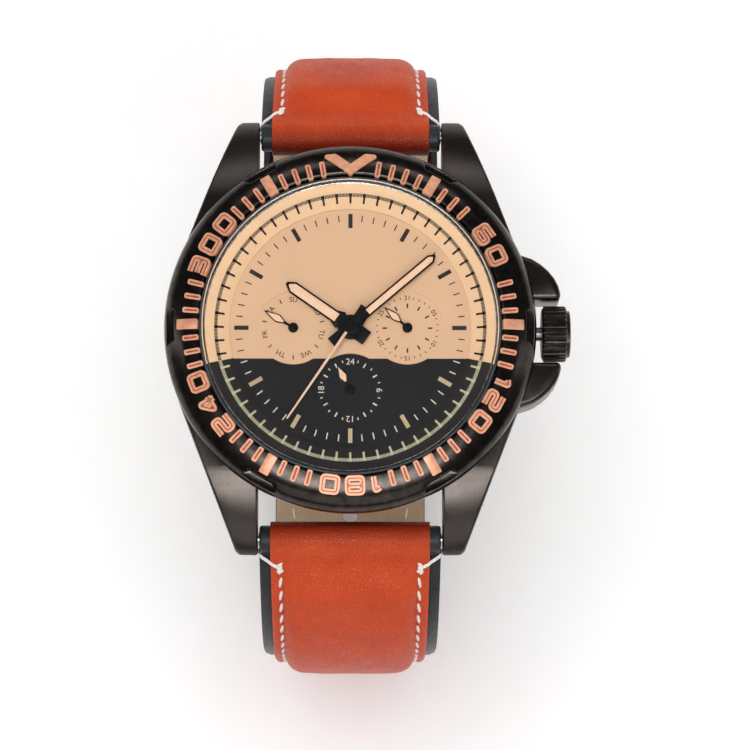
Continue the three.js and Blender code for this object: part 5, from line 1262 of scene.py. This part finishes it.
HOLES_FROM_TIP = [19.3 + 6.5 * i for i in range(5)]
HOLE_RADIUS = 1.05
for label, line in LINES.items():
    body = "strap_" + label
    long_half = label == "6"
    end = line.length
    top_end = end - (0.6 if long_half else 3.2)
    tip = 9.0 if long_half else 0.0
    base = bent_strip(
        "base_strip_" + label, line, 1.2, end - 0.01, strap_half_width,
        lambda s, a, d: np.full_like(d, BASE_FACE) - 0.22 * smooth_step(np.abs(s), 0.955, 1.0),
        lambda s, a, d: np.full_like(d, -BASE_FACE) + 0.22 * smooth_step(np.abs(s), 0.955, 1.0),
        40, 0.8, tip)
    top = bent_strip(
        "top_leather_" + label, line, 0.0, top_end, top_width, padded_height,
        lambda s, a, d: 0.8 + 0.9 * (1 - smooth_step(d, 0, 3)), 72, 0.45, tip)
    lining = bent_strip(
        "lining_" + label, line, 2.7, top_end, lambda d: strap_half_width(d) - 0.12,
        lambda s, a, d: np.full_like(d, LINING_TOP),
        lambda s, a, d: (np.full_like(d, LINING_FACE) + 0.2 * smooth_step(np.abs(s), 0.96, 1.0)
                         - 0.02 * ripple(a, d, 0.5, 2.0)), 40, 0.8, tip)
    if long_half:
        for distance in HOLES_FROM_TIP:
            (y, z), (ny, nz) = line.at(end - distance)
            for piece in (base, top, lining):
                out = Vector((0, line.side * ny, nz)) * 6
                middle = Vector((0, line.side * y, z))
                combine(piece, pin("punch", HOLE_RADIUS, middle - out, middle + out, 28), "DIFFERENCE")
    roll = bar_roll("base_roll_" + label, line.side * BAR_Y, BAR_Z, 10.85)
    pieces = [base, roll]
    if not long_half:
        end_roll = bar_roll("buckle_roll", BAR_END_Y, STRAP_FLAT_Z, 10.15, 1.6, 0.82)
        slot = slab("slot", [(-1.4, 12.0), (1.4, 12.0), (1.4, 17.6), (-1.4, 17.6)],
                    STRAP_FLAT_Z - 3, STRAP_FLAT_Z + 3)
        combine(end_roll, copied(slot, "slot_copy"), "DIFFERENCE")
        combine(base, slot, "DIFFERENCE")
        pieces.append(end_roll)
    finished(welded(pieces, "black_strip_" + label), body, BLACK,
             [body + "_base"], smooth=50)
    sleeve = rolled("top_roll_" + label, line, 9.55, 1.7, ROLL_OUTER, 48, 235)
    rust = welded([top, sleeve], "rust_leather_" + label)
    finished(rust, body, RUST, [body + "_top"], smooth=50)
    finished(lining, body, TAN_LINING, [body + "_lining"], smooth=50)

    last_stitch = top_end - (7.5 if long_half else 3.0)
    run = np.arange(FIRST_STITCH, last_stitch, STITCH_PITCH)
    places = [(side * float(stitch_line(d)), float(d), 0.0) for side in (-1, 1) for d in run]
    stitches("seam_" + label, line, body, places, seam_height)
    stitches("lining_seam_" + label, line, body, places, lambda x, d: LINING_FACE - 0.02, thick=0.15)

    # bar tacks: the thread is knotted at the first stitches and taken round the strip's edge
    knots = []
    for side in (-1, 1):
        lane = float(stitch_line(FIRST_STITCH))
        for k, (shift, reach) in enumerate(((0.0, 0.0), (0.35, 0.3), (-0.3, 0.15), (0.7, 0.0))):
            knots.append((side * (lane + reach * 0.5), FIRST_STITCH + shift - 0.4, side * 0.35 * k))
    stitches("knots_" + label, line, body, knots, lambda x, d: seam_height(x, d) + 0.1,
             thick=0.2, length=0.95)
    for side in (-1, 1):
        for k in range(2):
            start = FIRST_STITCH + 0.2 * k - 0.45
            lane = float(stitch_line(start)) - 0.2
            edge = float(top_width(start))
            rim = float(strap_half_width(start))
            route = [(lane, start + 0.2, 1.85), (edge - 0.2, start - 0.3, 1.86),
                     (edge + 0.15, start - 0.45, 1.3), (rim - 0.3, start - 0.8, 1.0),
                     (rim + 0.05, start - 0.95, 0.5), (rim + 0.06, start - 1.0, -0.4)]
            curve = bpy.data.curves.new("edge_thread", "CURVE")
            curve.dimensions = "3D"
            curve.bevel_depth = 0.13 * MM
            curve.bevel_resolution = 2
            curve.use_fill_caps = True
            spline = curve.splines.new("NURBS")
            spline.points.add(len(route) - 1)
            spline.use_endpoint_u = True
            for point, (x, d, h) in zip(spline.points, route):
                point.co = (*line.world(np.array(side * x), np.array(d), np.array(h)), 1)
            thread = bpy.data.objects.new("edge_thread", curve)
            bpy.context.scene.collection.objects.link(thread)
            only(thread)
            bpy.ops.object.convert(target="MESH")
            thread = bpy.context.object
            thread.name = thread.data.name = f"edge_thread_{label}_{'left' if side < 0 else 'right'}_{k + 1}"
            finished(thread, body, THREAD, smooth=60)

for label in ("12", "6"):
    for material_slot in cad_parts["spring_bar_" + label].material_slots:
        material_slot.material = STEEL

# Keepers and buckle. Two leather loops on the short half, one sewn down and one free to slide, and
# a coated pin buckle whose frame and tongue both swing on a bar through the rolled strip end.
def keeper(name, node, body, distance, gap):
    half = float(strap_half_width(distance)) + gap
    low, high = LINING_FACE - gap, TOP_FACE + gap
    tall = (high - low) / 2
    wall, length = 0.9, 4.5
    loop = slab(name, rounded_box(half + wall, tall + wall, 1.1, 6), -length / 2, length / 2)
    combine(loop, slab("opening", rounded_box(half, tall, 0.35), -length, length), "DIFFERENCE")
    round_off(loop, 0.22, 3, 50)
    place = LINES["12"].frame_at(0.0, distance, (high + low) / 2) @ Matrix.Rotation(math.pi / 2, 4, "X")
    loop.data.transform(place)
    finished(loop, body, BLACK, [node], smooth=40)


keeper("sewn_keeper", "fixed_keeper", "strap_12", 64.0, 0.3)
keeper("sliding_keeper", "free_keeper", "free_keeper", 53.0, 0.45)


def across_bar(name, radius, reach, sides):
    """A round pin along the buckle's bar, reaching as far to either side, in mm."""
    return pin(name, radius, (-reach, BAR_END_Y, STRAP_FLAT_Z), (reach, BAR_END_Y, STRAP_FLAT_Z), sides)


BUCKLE_FINISH = coated_metal("buckle_coating", rgb(62, 58, 56), rgb(84, 78, 74), 0.24,
                             (0.05, 1.0, 1.0), 0.12, 0.8, 0.15)
outline = [(-12.5, 16.5), (-10.5, 16.5), (-10.5, 7.5), (10.5, 7.5), (10.5, 16.5), (12.5, 16.5),
           (12.5, 7.7), (10.3, 5.5), (-10.3, 5.5), (-12.5, 7.7)]
buckle_frame = slab("pin_buckle", outline, STRAP_FLAT_Z - 1, STRAP_FLAT_Z + 1)
relief = [(-10.5, 5.0), (10.5, 5.0), (10.5, 8.0), (-10.5, 8.0)]
combine(buckle_frame, slab("relief", relief, STRAP_FLAT_Z - 2, STRAP_FLAT_Z - 0.05), "DIFFERENCE")
bridge = [(-10.2, 5.5), (10.2, 5.5), (10.2, 7.5), (-10.2, 7.5)]
combine(buckle_frame, slab("bridge", bridge, STRAP_FLAT_Z + 0.5, STRAP_FLAT_Z + 1.35), "UNION")
combine(buckle_frame, across_bar("eye", 0.72, 11.9, 32), "DIFFERENCE")
round_off(buckle_frame, 0.3, 3, 40)
finished(buckle_frame, "buckle", BUCKLE_FINISH, ["buckle_frame"], smooth=35)

buckle_pin = round_off(across_bar("buckle_pin", 0.68, 11.8, 40), 0.12, 2, 40)
finished(buckle_pin, "buckle", STEEL, ["buckle_bar"], smooth=40)

tongue = sideways("buckle_prong", [
    (5.7, -61.0), (5.75, -60.25), (6.2, -60.15), (14.6, -60.15), (14.6, -61.05), (6.0, -61.05),
], -0.88, 0.88)
round_off(tongue, 0.25, 3, 40)
eye = round_off(across_bar("prong_eye", 1.48, 1.08, 40), 0.15, 2, 40)
combine(tongue, eye, "UNION")
combine(tongue, across_bar("prong_bore", 0.8, 2, 32), "DIFFERENCE")
finished(tongue, "tongue", BUCKLE_FINISH, ["buckle_tongue"], smooth=35)

# Studio. A plain pale table under the strap, a broad soft lamp overhead, dim side reflectors for
# the metal, and a long lens looking down on the dial from a little below it.
floor_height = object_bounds()[0][2]
put_away()
bpy.ops.mesh.primitive_plane_add(size=6, location=(0, 0, floor_height))
table = bpy.context.object
table.name = table.data.name = "table_top"
table_finish, tree, shader = new_finish("table_paper", Roughness=0.85, Emission_Strength=0.2)
shader.inputs["Emission Color"].default_value = (1, 1, 1, 1)
where = object_place(tree)
fibre = noise(tree, where, 300.0, 3.0)
tree.links.new(blended(tree, fibre, rgb(248, 248, 248), rgb(255, 255, 255)), shader.inputs["Base Color"])
table.data.materials.append(table_finish)


def lamp(name, place, aim, size, power, glossy=True, diffuse=True):
    """A soft rectangular lamp; one kept out of glossy or diffuse light works as a light or a card only."""
    put_away()
    place, aim = Vector(place), Vector(aim)
    turn = (place - aim).to_track_quat("Z", "Y").to_euler()
    bpy.ops.object.light_add(type="AREA", location=place, rotation=turn)
    light = bpy.context.object
    light.name = name
    light.data.shape = "RECTANGLE"
    light.data.size, light.data.size_y = size
    light.data.energy = power
    light.visible_glossy = glossy
    light.visible_diffuse = diffuse
    light.visible_transmission = glossy
    light.visible_camera = False


lamp("overhead", (-0.06, 0.08, 1.0), (0, 0, 0), (0.6, 0.6), 6.2, glossy=False)
lamp("fill", (0.45, -0.5, 0.8), (0, 0, 0), (0.8, 0.8), 1.3, glossy=False)
lamp("front_card", (0, -0.19, 0.46), (0, 0, 0), (0.35, 0.2), 1.5, diffuse=False)
lamp("low_front_card", (0, -0.45, 0.22), (0, 0, 0), (0.5, 0.25), 0.35, diffuse=False)
lamp("back_card", (0, 0.42, 0.38), (0, 0, 0), (0.5, 0.14), 0.35, diffuse=False)
lamp("left_strip", (-0.5, 0.05, 0.12), (0, 0, 0), (0.05, 0.6), 0.2, diffuse=False)
lamp("right_strip", (0.5, 0.0, 0.1), (0, 0, 0), (0.05, 0.6), 0.2, diffuse=False)

world = bpy.data.worlds.new("studio")
bpy.context.scene.world = world
world.use_nodes = True
tree = world.node_tree
tree.nodes.clear()
path = put(tree, "LightPath")
surround = blended(tree, path.outputs["Is Glossy Ray"], (0.9, 0.9, 0.9, 1), (0.26, 0.26, 0.265, 1))
sky = put(tree, "Background", None, {"Color": surround, "Strength": 0.38})
ending = tree.nodes.new("ShaderNodeOutputWorld")
tree.links.new(sky.outputs[0], ending.inputs[0])

camera_data = bpy.data.cameras.new("camera")
camera_data.lens = 175
camera_data.sensor_width = 36
camera_data.clip_start = 0.01
camera_data.clip_end = 20
camera = bpy.data.objects.new("camera", camera_data)
bpy.context.scene.collection.objects.link(camera)
eye = Vector((0, -75.5, 436.6)) * MM
target = Vector((2.94, -5.6, 8.2)) * MM
camera.location = eye
backwards = (eye - target).normalized()
rightwards = Vector((0, 1, 0)).cross(backwards).normalized()
camera.rotation_euler = Matrix((rightwards, backwards.cross(rightwards), backwards)).transposed().to_euler()
bpy.context.scene.camera = camera
bpy.context.scene.view_settings.view_transform = "Standard"
